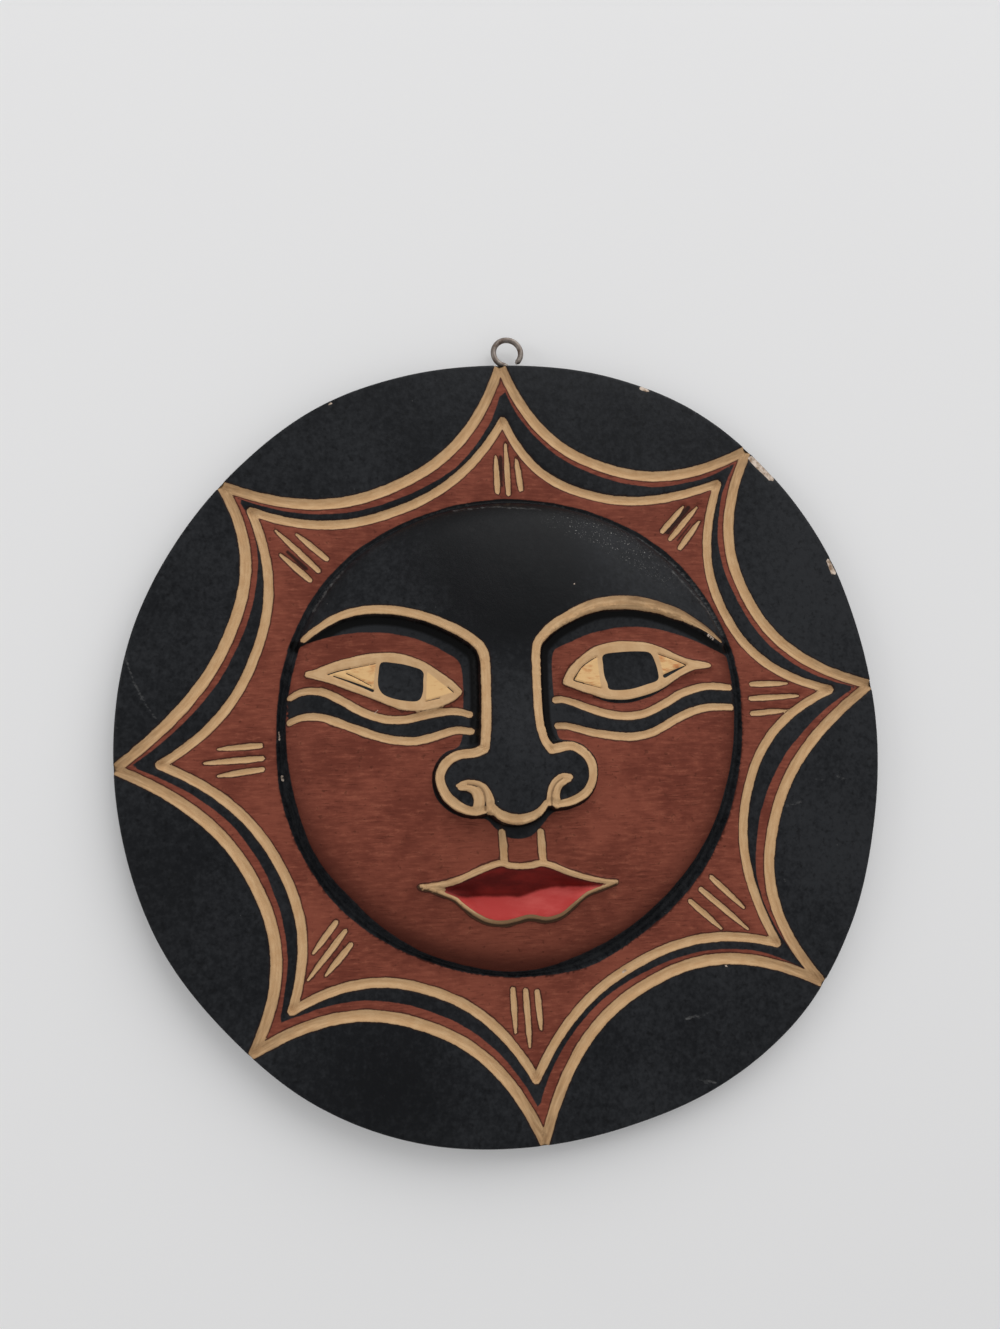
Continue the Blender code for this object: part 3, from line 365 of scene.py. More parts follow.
def rim_line(count, radius, inset=0.0):
    """The rim as a closed ring of points."""
    turn = np.arange(count) * TAU / count
    reach = rim_radius(turn, radius) - inset
    return np.c_[reach * np.cos(turn), reach * np.sin(turn)]


def rim_gap(q, radius):
    """Distance in from the rim, along the radius."""
    return rim_radius(np.arctan2(q[:, 1], q[:, 0]), radius) - np.hypot(q[:, 0], q[:, 1])


def star_arcs(tips, arcs, spacing):
    """The eight sagging arcs of one star, tip to tip."""
    lines = []
    for k, (sag, lean) in enumerate(arcs):
        start, end = np.array(tips[k], float), np.array(tips[(k + 1) % len(tips)], float)
        t = np.linspace(0.0, 1.0, 97)
        warped = t - 4 * lean * t * (1 - t)
        depth = sag * (1 - np.abs(2 * warped - 1) ** ARC_FULLNESS)
        chord = end - start
        inward = np.array([chord[1], -chord[0]]) / np.hypot(*chord)
        lines.append(respaced(start + chord * t[:, None] + inward * depth[:, None], spacing))
    return lines


def nearest(q, line):
    """Gap to the line, place along it and side of it, for the points of q near it."""
    gap, along, side = np.full(len(q), FAR), np.zeros(len(q)), np.zeros(len(q))
    near = np.flatnonzero(((q > line.min(axis=0) - FAR) & (q < line.max(axis=0) + FAR)).all(axis=1))
    p = q[near]
    best, place, turn = np.full(len(p), FAR ** 2), np.zeros(len(p)), np.zeros(len(p))
    walked = 0.0
    for start, end in zip(line, line[1:]):
        run = end - start
        length = max(float(np.hypot(*run)), 1e-9)
        rel = p - start
        t = np.clip(rel @ run / length ** 2, 0.0, 1.0)
        off = rel - t[:, None] * run
        square = off[:, 0] ** 2 + off[:, 1] ** 2
        closer = square < best
        best[closer] = square[closer]
        place[closer] = walked + t[closer] * length
        turn[closer] = np.sign(run[0] * rel[closer, 1] - run[1] * rel[closer, 0])
        walked += length
    gap[near], along[near], side[near] = np.sqrt(best), place, turn
    return gap, along, side


def painted(q, line, stations):
    """Depth in a line with its widths at even stations, place and share along it, and offset."""
    gap, place, side = nearest(q, line)
    share = place / np.hypot(*np.diff(line, axis=0).T).sum()
    half = np.interp(share, np.linspace(0, 1, len(stations)), stations) / 2
    return half - gap, place, share, side * gap / half


def deepest(q, lines, widths):
    """Greatest depth in any of the painted lines."""
    return np.max([painted(q, np.array(line, float), stations)[0]
                   for line, stations in zip(lines, widths)], axis=0)


def inside(q, ring):
    """True for the points of q inside the closed ring."""
    hit = np.zeros(len(q), bool)
    for (x0, y0), (x1, y1) in zip(ring, np.roll(ring, -1, axis=0)):
        if y0 == y1:
            continue
        spans = (q[:, 1] < y0) != (q[:, 1] < y1)
        hit ^= spans & (q[:, 0] < x0 + (q[:, 1] - y0) / (y1 - y0) * (x1 - x0))
    return hit


def depth_inside(q, ring):
    """Distance to the ring, positive inside it and negative outside."""
    gap = nearest(q, np.vstack([ring, ring[:1]]))[0]
    return np.where(inside(q, ring), gap, -gap)


def ramp(x):
    """Smooth step from 0 at x = 0 to 1 at x = 1."""
    x = np.clip(x, 0.0, 1.0)
    return x * x * (3 - 2 * x)


def gouge(gap, width, depth):
    """Round-bottomed cut: its depth at a distance from its middle."""
    return depth * np.clip(1 - (2 * gap / width) ** 2, 0.0, None)


def spotted(q, marks):
    """Sum of soft round spots, each with its middle, spread and amount."""
    return sum(amount * np.exp(-(((q - spot) / spread) ** 2).sum(axis=1))
               for spot, spread, amount in marks)


def rough(q, size, seed):
    """Soft unevenness between -1 and 1 whose lumps are about one size across."""
    return np.array([noise.noise(Vector((u / size, v / size, seed))) for u, v in q])


class Drawing:
    """All lines and outlines of the design, in millimetres."""

    def __init__(self, step=1.2):
        self.outer = star_arcs(OUTER_TIPS, OUTER_ARCS, step)
        self.inner = star_arcs(INNER_TIPS, INNER_ARCS, step)
        self.strokes = [respaced(np.array(stroke, float), step) for stroke in STROKES]
        faces = {"left_brow": LEFT_BROW, "right_brow": RIGHT_BROW, "left_wing": LEFT_WING,
                 "right_wing": RIGHT_WING, "nose_tip": NOSE_TIP, "left_nostril": LEFT_NOSTRIL,
                 "right_nostril": RIGHT_NOSTRIL, "left_upper": LEFT_UPPER_LID,
                 "left_lower": LEFT_LOWER_LID, "right_upper": RIGHT_UPPER_LID,
                 "right_lower": RIGHT_LOWER_LID, "lip_top": LIP_TOP, "lip_bottom": LIP_BOTTOM}
        self.face = {name: smooth_line(points, step) for name, points in faces.items()}
        self.meeting = smooth_line(LIP_MEETING, step)
        self.cheeks = [smooth_line(points, step) for points in CHEEK_LINES]
        self.philtrum = [smooth_line(points, step) for points in PHILTRUM]
        self.bars = [smooth_line(points, step) for points in EYE_BARS]
        self.curls = [smooth_line(points, 0.6) for points in INNER_CURLS]
        self.cuts = [smooth_line(points, 0.6) for points in FINE_CUTS]
        self.seams = [smooth_line(points, 0.6) for points in SEAMS]
        self.rings = self.outlines()

    def outlines(self):
        """Closed rings of the star, forehead, nose, eyes, lips, pupils and painted areas."""
        line = self.face
        cheeks = self.cheeks
        return {
            "outer": np.vstack(self.outer), "inner": np.vstack(self.inner),
            "crown": np.vstack([line["left_brow"], BRIDGE_FOOT, line["right_brow"][::-1], OVER_FACE]),
            "nose": np.vstack([line["left_wing"], line["nose_tip"], line["right_wing"]]),
            "left_eye": np.vstack([line["left_upper"], line["left_lower"][::-1]]),
            "right_eye": np.vstack([line["right_upper"], line["right_lower"][::-1]]),
            "lips": np.vstack([line["lip_top"], line["lip_bottom"][::-1]]),
            "left_pupil": smooth_line(LEFT_PUPIL, 0.8, True),
            "right_pupil": smooth_line(RIGHT_PUPIL, 0.8, True),
            "brown": np.vstack([smooth_line(BROWN_EDGE, 1.0), UNDER_FACE]),
            "left_band": np.vstack([(-69, 9.5), cheeks[0], (-13, 5), (-13, 0), cheeks[1][::-1], (-69, 4.5)]),
            "right_band": np.vstack([(6, 9), cheeks[2], (70, 13.5), (70, 7.5), cheeks[3][::-1], (6, 1)]),
            **{"white" + str(k): np.array(corners, float) for k, corners in enumerate(WHITES)}}

    def gold(self):
        """Every gold line with its name."""
        named = [("outer", line) for line in self.outer] + [("inner", line) for line in self.inner]
        named += [("stroke", line) for line in self.strokes]
        named += list(self.face.items())
        named += [("cheek", line) for line in self.cheeks]
        named += [("philtrum", line) for line in self.philtrum]
        named += [("bar", line) for line in self.bars]
        named += [("left_curl", self.curls[0]), ("right_curl", self.curls[1]),
                  ("lip_corner", np.array(LIP_CORNER))]
        return named


def length(label, about, value):
    """A length property with its default."""
    return FloatProperty(name=label, description=about, default=value, unit="LENGTH")


def colour(label, about, value):
    """A colour property with its default."""
    return FloatVectorProperty(name=label, description=about, default=value, size=3,
                               subtype="COLOR", min=0.0, max=1.0)


class PlaqueCarving(bpy.types.PropertyGroup):
    """Sizes of the carved disc."""

    disc_radius: length("Disc radius", "Mean radius of the hand-cut disc", 0.120)
    rim_thickness: length("Rim thickness", "Wood at the flat rays", 0.009)
    edge_rounding: length("Edge rounding", "Softened edge of the rim", 0.0010)
    face_half_width: length("Face half width", "Middle to groove, sideways", 0.0716)
    face_half_height: length("Face half height", "Middle to groove, upwards", 0.0731)
    groove_width: length("Groove width", "Groove round the face", 0.0044)
    groove_depth: length("Groove depth", "Depth of the groove round the face", 0.0018)
    cheek_height: length("Cheek height", "Cheeks over the flat rays", 0.0115)
    brow_height: length("Brow height", "Forehead over the flat rays", 0.0150)
    nose_height: length("Nose height", "Tip of the nose over the flat rays", 0.0190)
    wing_rise: length("Wing rise", "Wings of the nose over the cheeks", 0.0030)
    socket_depth: length("Socket depth", "Hollow round each eye", 0.0022)
    eye_rise: length("Eye rise", "Eyes over their sockets", 0.0011)
    lip_rise: length("Lip rise", "Edge of the lips over the chin", 0.0018)
    lip_valley: length("Lip valley", "Depth of the cut between the lips", 0.0034)
    nostril_depth: length("Nostril depth", "Depth of the nostrils", 0.0015)
    star_line_depth: length("Star line depth", "Gouged lines of the star", 0.0008)
    stroke_depth: length("Stroke depth", "Gouged strokes in the rays", 0.0006)
    face_line_depth: length("Face line depth", "Gouged lines on the face", 0.0005)
    brow_wall: length("Brow wall", "Run of the step under the brows", 0.0034)
    nose_wall: length("Nose wall", "Run of the step round the nose", 0.0012)
    fine_step: length("Fine step", "Mesh step in the eyes and nostrils", 0.00038)
    line_step: length("Line step", "Mesh step along the cuts", 0.0009)
    field_step: length("Field step", "Mesh step between the cuts", 0.00125)


class PlaqueWire(bpy.types.PropertyGroup):
    """Sizes of the screw eye."""

    wire: length("Wire", "Diameter of the wire", 0.0018)
    bore: length("Bore", "Opening of the ring", 0.0072)
    shank: length("Shank", "Length in the wood", 0.0100)
    gap: length("Gap", "Ring above the rim", 0.0005)


class PlaquePaint(bpy.types.PropertyGroup):
    """Colours of the paint, the wood and the wire."""

    brown: colour("Brown", "Reddish brown of the rays and the face", (0.245, 0.066, 0.040))
    brown_low: colour("Low brown", "Darker clouds in the brown", (0.150, 0.036, 0.022))
    brown_light: colour("Light brown", "Rubbed brown", (0.330, 0.105, 0.062))
    # Dark brown, also the painted shade at the face's foot
    brown_dark: colour("Dark brown", "Grain and the cheeks' edges", (0.055, 0.011, 0.006))
    black: colour("Black", "Black of the rim, forehead and nose", (0.0080, 0.0088, 0.0105))
    # Rubbed black, also the painted sheen on the black
    black_rubbed_and_sheen: colour("Rubbed black", "Grey bloom on the black", (0.0230, 0.0245, 0.0275))
    # Pits, and also the colour of the painted shade on the black
    pit_and_shade: colour("Pits", "Pits in the black", (0.0020, 0.0020, 0.0022))
    # Scuffs, also the colour of painted highlights on the black
    scuff_and_highlight: colour("Scuffs", "Grey scuffs on the black", (0.150, 0.150, 0.148))
    dust: colour("Dust", "Pale specks on the black", (0.420, 0.410, 0.390))
    # Painted shadow beside the gold lines, under the lips' outlines and beside strokes
    outline: colour("Outline", "Dark edge beside the gold", (0.020, 0.009, 0.007))
    gold: colour("Gold", "Tan gold of the lines", (0.560, 0.340, 0.170))
    # Old gold, also painted shade on the gold and in the nostrils' splits
    gold_dark: colour("Old gold", "Thin brownish gold", (0.210, 0.120, 0.060))
    gold_light: colour("Light gold", "Thick gold", (0.680, 0.450, 0.245))
    cream: colour("Cream", "Whites of the eyes", (0.790, 0.505, 0.235))
    orange: colour("Orange", "Streaks in the whites", (0.520, 0.170, 0.055))
    # The upper lip's reds are the lips' red in painted shade, the lower lip's in painted light
    red_in_shade: colour("Deep red", "Upper lip", (0.080, 0.005, 0.004))
    red_dull: colour("Dull red", "Rubbed upper lip", (0.170, 0.012, 0.009))
    red_in_light: colour("Bright red", "Lower lip", (0.475, 0.048, 0.043))
    red_rubbed: colour("Rubbed red", "Light of the lower lip", (0.600, 0.100, 0.088))
    # Bare wood, also the colour of the painted glints
    bare: colour("Bare wood", "Wood in the chips", (0.760, 0.640, 0.540))
    back_wood: colour("Back wood", "Bare wood of the back", (0.360, 0.230, 0.130))
    back_grain: colour("Back grain", "Dark grain of the back", (0.190, 0.105, 0.055))
    steel: colour("Steel", "Tarnished wire", (0.250, 0.215, 0.190))
    rust: colour("Rust", "Brown tarnish of the wire", (0.095, 0.055, 0.038))


class PlaqueStage(bpy.types.PropertyGroup):
    """Wall, light and camera."""

    wall: colour("Wall", "Pale wall behind the plaque", (0.900, 0.900, 0.905))
    key_power: FloatProperty(name="Key light", description="Soft light from above", default=34.0,
                             unit="POWER")
    fill_power: FloatProperty(name="Fill light", description="Soft light from the left", default=1.6,
                              unit="POWER")
    sky: FloatProperty(name="Sky", description="Even light from all round", default=0.52)
    camera_right: length("Camera right", "Camera from the disc's middle", -0.0451)
    camera_up: length("Camera up", "Camera over the disc's middle", -0.0226)
    camera_out: length("Camera out", "Camera in front of the flat rays", 0.3029)


def millimetres(group):
    """The lengths of a property group in millimetres, as a plain dictionary."""
    return {name: getattr(group, name) * 1000 for name in group.bl_rna.properties.keys()
            if name not in ("rna_type", "name")}


def front_height(q, drawing, size):
    """Height of the carved front over the flat rays, for each point of q."""
    inset, groove, turn = face_inset(q, size)
    over = ramp((np.sin(turn) - 0.15) / 0.35)
    share = 1 - inset / size["face_half_width"]
    foot = 1 - groove / 2 / size["face_half_width"]
    rings, face = drawing.rings, drawing.face

    def dome(height, fullness):
        """Height of a dome that falls to the groove."""
        return height * np.clip(1 - (share / foot) ** fullness, 0.0, None) ** DOME_FALL

    cheek = dome(size["cheek_height"], CHEEK_FULLNESS)
    for spot in EYE_MIDDLES:
        rel = (q - spot) / SOCKET_SPREAD
        cheek -= size["socket_depth"] * np.exp(-(rel[:, 0] ** 2 + rel[:, 1] ** 2))
    cheek = np.maximum(cheek, 0.0)
    rel = np.abs(q - NOSE_MIDDLE) / NOSE_SPREAD
    bulb = np.exp(-(rel ** NOSE_FULLNESS).sum(axis=1))
    brow = dome(size["brow_height"], BROW_FULLNESS) + (size["nose_height"] - size["brow_height"]) * bulb
    beyond = -depth_inside(q, rings["crown"]) - CROWN_START
    crown = 0.80 * ramp(1 - beyond / 1.1) + 0.20 * ramp(1 - beyond / (1.4 * size["brow_wall"]))
    wings = cheek + size["wing_rise"] + (size["nose_height"] - size["cheek_height"]
                                         - size["wing_rise"]) * bulb
    nose = ramp((depth_inside(q, rings["nose"]) + NOSE_START + size["nose_wall"]) / size["nose_wall"])
    height = np.maximum(cheek + crown * np.maximum(brow - cheek, 0.0), cheek + nose * (wings - cheek))

    for name in ("left_eye", "right_eye"):
        height += size["eye_rise"] * ramp((depth_inside(q, rings[name]) + 2.1) / 0.8)
    within = depth_inside(q, rings["lips"])
    height += size["lip_rise"] * ramp((within + 1.5) / 1.4)
    valley = 1 - np.clip(nearest(q, drawing.meeting)[0] / LIP_HALF_DEPTH, 0.0, 1.0)
    height -= size["lip_valley"] * valley * ramp(within / LIP_TAPER)

    for name in ("left_brow", "right_brow", "left_wing", "right_wing", "nose_tip"):
        height -= gouge(nearest(q, face[name])[0], FACE_LINE_WIDTH, size["face_line_depth"])
    for line in drawing.cheeks + drawing.philtrum:
        height -= gouge(nearest(q, line)[0], FACE_LINE_WIDTH, size["face_line_depth"])
    for line, stations in zip(drawing.cuts, FINE_CUT_WIDTHS):
        height -= gouge(nearest(q, line)[0], max(stations) + 0.5, FINE_CUT_DEPTH)
    for line in drawing.seams:
        height -= gouge(nearest(q, line)[0], SEAM_WIDTH, SEAM_DEPTH)
    for spot in NOSTRIL_HOLES:
        height -= gouge(np.hypot(*(q - spot).T), 2 * NOSTRIL_HALF_WIDTH, size["nostril_depth"])
    cut = size["groove_depth"] * np.sqrt(groove / size["groove_width"]) * (1 - SHALLOW_ABOVE * over)
    height -= gouge(np.abs(inset - groove / 2), groove, cut)
    for line in drawing.outer + drawing.inner:
        height -= gouge(nearest(q, line)[0], STAR_LINE_WIDTH, size["star_line_depth"])
    for line in drawing.strokes:
        height -= gouge(nearest(q, line)[0], STROKE_WIDTH, size["stroke_depth"])
    for line, width in CHIPS_AND_GLINTS:
        height -= gouge(nearest(q, np.array(line, float))[0], 1.3 * width, 0.3 * width)
    return height


def paint_areas(q, drawing, size):
    """How deep each point lies in each paint, in millimetres, as a dictionary of attributes."""
    rings = drawing.rings
    inset, groove, turn = face_inset(q, size)
    gold = np.full(len(q), -FAR)
    along, across, age_and_shade = q[:, 0] + q[:, 1], np.zeros(len(q)), np.zeros(len(q))
    for number, (name, line) in enumerate(drawing.gold()):
        depth, place, share, offset = painted(q, line, LINE_WIDTHS[name])
        ages = LINE_AGES_AND_SHADE.get(name, (0.0, 0.0))
        old_and_shaded = np.interp(share, np.linspace(0, 1, len(ages)), ages)
        # Painted shade: the right brow's gold darker towards its upper edge, on its groove's upper wall
        if name == "right_brow":
            old_and_shaded = old_and_shaded * (0.9 - 0.35 * np.clip(offset, -1, 1))
        # Painted shadow: the lower lip's outline darkening on its lower side, where its edge rolls under
        if name == "lip_bottom":
            old_and_shaded = old_and_shaded + 1.9 * ramp(0.2 - 1.2 * offset)
        deeper = depth > gold
        place = place + 137.0 * number
        for numbers, values in ((gold, depth), (along, place), (across, offset), (age_and_shade, old_and_shaded)):
            numbers[deeper] = values[deeper]

    eyes = np.maximum(depth_inside(q, rings["left_eye"]), depth_inside(q, rings["right_eye"]))
    across = np.where(eyes > 0, 0.0, across)
    along = np.where(eyes > -2.3, q[:, 0] + 0.4 * q[:, 1], along)
    gold = np.maximum(gold, eyes)
    band = -depth_inside(q, rings["inner"]) - 0.6
    for line, stations in zip(drawing.outer, BROWN_STRIPS):
        band = np.minimum(band, -painted(q, line, 2 * np.array(stations) + 3.0)[0])
    black = np.maximum(-depth_inside(q, rings["outer"]), band)
    # Black round the brows and nose, in the groove and in the cheek bands; in the groove it reaches over the
    # dome's shaded foot at the lower right, as painted shade
    for part in (np.minimum(inset + 0.2, -depth_inside(q, rings["brown"])),
                 np.minimum(inset, groove - inset),
                 depth_inside(q, rings["left_band"]), depth_inside(q, rings["right_band"])):
        black = np.maximum(black, part)
    # Ink of the pupils and the fine cuts, including the painted shadow under the right eye's lower lid
    ink = np.maximum(depth_inside(q, rings["left_pupil"]), depth_inside(q, rings["right_pupil"]))
    ink = np.maximum(ink, deepest(q, drawing.cuts, FINE_CUT_WIDTHS))
    white = np.max([depth_inside(q, rings["white" + str(k)]) for k in range(len(WHITES))], axis=0)

    gap, _, side = nearest(q, drawing.meeting)
    # Painted shade at the face's foot by the groove, heavier towards the bottom, with a darker stain towards
    # the right
    low = ramp((FACE_MIDDLE[1] + 10 - q[:, 1]) / 60)
    shade = np.exp(-np.clip(inset - 2.5, 0, None) / 6.5) * (inset > 0)
    shade *= 0.30 + 0.8 * low + 0.5 * ramp((q[:, 0] - 15) / 40) * (1 - low)
    # Painted shade: pit black on the black under the brows' step and under the nose and its wings
    beyond = -depth_inside(q, rings["crown"]) - CROWN_START
    under = ramp(beyond / 0.4 + 0.8) * ramp((3.3 - beyond) / 0.6) * (inset > 0)
    nose = depth_inside(q, rings["nose"])
    off_nose = ramp(1 - nose / 0.8)
    under *= off_nose * ramp((q[:, 1] + 5) / 2.0)
    shade_below_nose = ramp((-nose - 1.3) / 0.4 + 0.8) * ramp((3.6 + nose) / 1.6) * ramp((-4 - q[:, 1]) / 8)
    under = np.maximum(under, shade_below_nose)
    # Painted sheen on the black slope below the brows' shade, added to the spots of painted sheen and shade
    slope = ramp((beyond - 3.0) / 0.6) * ramp((7.5 - beyond) / 2.5) * (inset > 0)
    bloom_sheen_shade = slope * off_nose + spotted(q, BLOOM_SHEEN_SHADE)
    dust = np.exp(-((inset - 7.5) / 5) ** 2 - ((turn - 1.05) / 0.36) ** 2)
    seams = deepest(q, drawing.seams, [(0.2, 0.4, 0.4)] * len(drawing.seams))
    wear_and_highlights = {name: deepest(q, [line for line, _ in marks], [(width, width) for _, width in marks])
            for name, marks in (("chips_and_glints", CHIPS_AND_GLINTS), ("scuffs_and_highlights", SCUFFS_AND_HIGHLIGHTS))}
    return {"gold": gold, "along": along, "across": across, "age_and_shade": age_and_shade, "black": black, "ink": ink,
            "white": white, "lips": depth_inside(q, rings["lips"]) - 0.35, "lower": -side * gap,
            "shade": shade, "under": under, "bloom_sheen_shade": bloom_sheen_shade, "dust": dust, "seams": seams,
            "stroke_shadow": deepest(q, STROKE_SHADES, STROKE_SHADE_WIDTHS), **wear_and_highlights}


def mesh_points(drawing, size):
    """Points for the mesh: rows along every cut, then an even fill, closest in eyes and nostrils."""
    step = size["fine_step"]
    rows = []

    def add(line, *offsets):
        """Rows beside a line, one for each offset."""
        line = respaced(line, step)
        run = np.gradient(line, axis=0)
        run /= np.maximum(np.hypot(run[:, 0], run[:, 1]), 1e-9)[:, None]
        away = np.c_[-run[:, 1], run[:, 0]]
        rows.append(line)
        for offset in offsets:
            rows.extend((line + away * offset, line - away * offset))

    def lattice(pitch):
        """Rows of points over the whole disc, set like bricks."""
        count = int(size["disc_radius"] * 1.05 / pitch)
        even = np.arange(-count, count + 1) * pitch
        u, v = np.meshgrid(even, even * 0.866)
        u[::2] += pitch / 2
        return np.c_[u.ravel(), v.ravel()]

    for line in drawing.cuts + drawing.seams:
        add(line, 0.25, 0.6)
    for line in drawing.curls:
        add(line, 0.8, 1.2)
    for name in ("left_nostril", "right_nostril"):
        add(drawing.face[name], 0.9, 1.3)
    for name in ("left_pupil", "right_pupil"):
        add(drawing.rings[name], 0.4)
    grid = lattice(step)
    rows.append(grid[fine_zone(grid, drawing) > 0])
    fine = thinned(np.vstack(rows), 0.7 * step)
    rows.clear()

    step = size["line_step"]
    turn = np.arange(0.0, TAU, step / size["face_half_width"])
    outer, inner = around(GROOVE_OUTER, turn), around(GROOVE_INNER, turn)
    oval = np.c_[np.cos(turn), np.sin(turn)] * (size["face_half_width"], size["face_half_height"])
    for place in GROOVE_ROWS:
        share = 1 - (outer + (inner - outer) * place) / size["face_half_width"]
        rows.append(FACE_MIDDLE + oval * share[:, None])
    for name, line in drawing.gold():
        half = max(LINE_WIDTHS[name]) / 2
        add(line, half * 0.5, half, half + 0.5)
    add(drawing.rings["brown"], 0.4)
    for line, width in CHIPS_AND_GLINTS + SCUFFS_AND_HIGHLIGHTS:
        add(np.array(line, float), width / 2, width)
    for line in STROKE_SHADES:
        add(np.array(line, float), 0.6, 1.2)
    add(drawing.meeting, 0.7)
    for name in ("left_brow", "right_brow"):
        add(drawing.face[name], 2.0, 2.9, 3.8, 4.6)
    for name in ("left_wing", "right_wing", "nose_tip", "lip_top", "lip_bottom"):
        add(drawing.face[name], 0.5, 1.0, 1.5, 2.1)
    rows.append(lattice(size["field_step"]))
    wide = thinned(np.vstack(rows), 0.5)
    return np.vstack([fine, wide[fine_zone(wide, drawing) < 0]])


def fine_zone(q, drawing):
    """Positive in the eyes and round the nostrils, where the smallest marks lie."""
    zone = np.maximum(*(depth_inside(q, drawing.rings[name]) for name in ("left_eye", "right_eye")))
    for spot in NOSTRIL_HOLES:
        zone = np.maximum(zone, 7.0 - np.hypot(*(q - spot).T))
    return zone + 0.3


def thinned(points, closest):
    """The points in turn, leaving out each one in a cell that an earlier one holds."""
    cells = np.floor(points / closest).astype(np.int64)
    _, first = np.unique(cells[:, 0] * 1000003 + cells[:, 1], return_index=True)
    return points[np.sort(first)]


def set_attributes(mesh, values):
    """Stores each row of numbers on the mesh's points."""
    for name, numbers in values.items():
        attribute = mesh.attributes.new(name, "FLOAT", "POINT")
        attribute.data.foreach_set("value", np.asarray(numbers, np.float32))


def to_frame(points, middle):
    """Plaque millimetres (right, up, out) turned into metres in the part's frame."""
    p = np.asarray(points, float) / 1000
    return np.c_[p[:, 0], middle[1] - p[:, 2], p[:, 1] + middle[2]]


def plaque_middle(size):
    """Middle of the disc at the level of the flat rays, found from the wooden node's box."""
    low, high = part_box("carved_disc")
    top = rim_line(120, size["disc_radius"])[:, 1].max() / 1000
    return Vector((0.0, high[1] - size["rim_thickness"] / 1000, high[2] - top))


class Recipe:
    """Builds the nodes of one material."""

    def __init__(self, name):
        self.material = bpy.data.materials.new(name)
        self.material.use_nodes = True
        self.tree = self.material.node_tree
        self.shader = self.tree.nodes["Principled BSDF"]
        self.place = self.add("ShaderNodeTexCoord").outputs["Object"]

    def add(self, kind, inputs=(), **settings):
        """A node with its settings and its inputs, given as values or as sockets."""
        node = self.tree.nodes.new(kind)
        for name, value in settings.items():
            setattr(node, name, value)
        for name, value in dict(inputs).items():
            self.feed(node.inputs[name], value)
        return node

    def feed(self, socket, value):
        """Links a socket, or sets its value."""
        if isinstance(value, bpy.types.NodeSocket):
            self.tree.links.new(value, socket)
        else:
            socket.default_value = value

    def read(self, name):
        """A number stored on the mesh."""
        return self.add("ShaderNodeAttribute", attribute_name=name).outputs["Fac"]

    def maths(self, operation, a, b=0.0):
        """One sum of two numbers."""
        return self.add("ShaderNodeMath", {0: a, 1: b}, operation=operation).outputs[0]

    def times(self, a, b):
        """Product of two numbers."""
        return self.maths("MULTIPLY", a, b)

    def plus(self, a, b):
        """Sum of two numbers."""
        return self.maths("ADD", a, b)

    def band(self, value, low, high, start=0.0, end=1.0):
        """Smooth step of a value between two bounds."""
        node = self.add("ShaderNodeMapRange", {"Value": value, "From Min": low, "From Max": high,
                                               "To Min": start, "To Max": end},
                        interpolation_type="SMOOTHSTEP")
        return node.outputs["Result"]

    def noise(self, scale, detail, stretch=(1.0, 1.0, 1.0), turn=0.0, place=None, roughness=0.55):
        """Noise from about -0.5 to 0.5, with its own stretch and turn in the plaque's plane."""
        spot = self.add("ShaderNodeMapping", {"Vector": place or self.place, "Scale": stretch,
                                              "Rotation": (0.0, turn, 0.0)}, vector_type="POINT")
        node = self.add("ShaderNodeTexNoise", {"Vector": spot.outputs[0], "Scale": scale,
                                               "Detail": detail, "Roughness": roughness})
        return self.plus(node.outputs["Fac"], -0.5)

    def blend(self, share, under, over):
        """Colour under another, by a share."""
        node = self.add("ShaderNodeMix", data_type="RGBA")
        self.feed(node.inputs["Factor"], share)
        for socket, value in ((node.inputs[6], under), (node.inputs[7], over)):
            self.feed(socket, value if isinstance(value, bpy.types.NodeSocket) else (*value, 1.0))
        return node.outputs[2]

    def mixed(self, share, under, over):
        """Number under another, by a share."""
        return self.plus(under, self.times(share, self.maths("SUBTRACT", over, under)))

    def raised(self, height, distance, strength):
        """Bump from a height."""
        inputs = {"Height": height, "Distance": distance, "Strength": strength}
        return self.add("ShaderNodeBump", inputs).outputs["Normal"]

    def finish(self, base, roughness, normal):
        """Feeds the shader."""
        self.feed(self.shader.inputs["Base Color"], base)
        self.feed(self.shader.inputs["Roughness"], roughness)
        self.feed(self.shader.inputs["Normal"], normal)
        return self.material


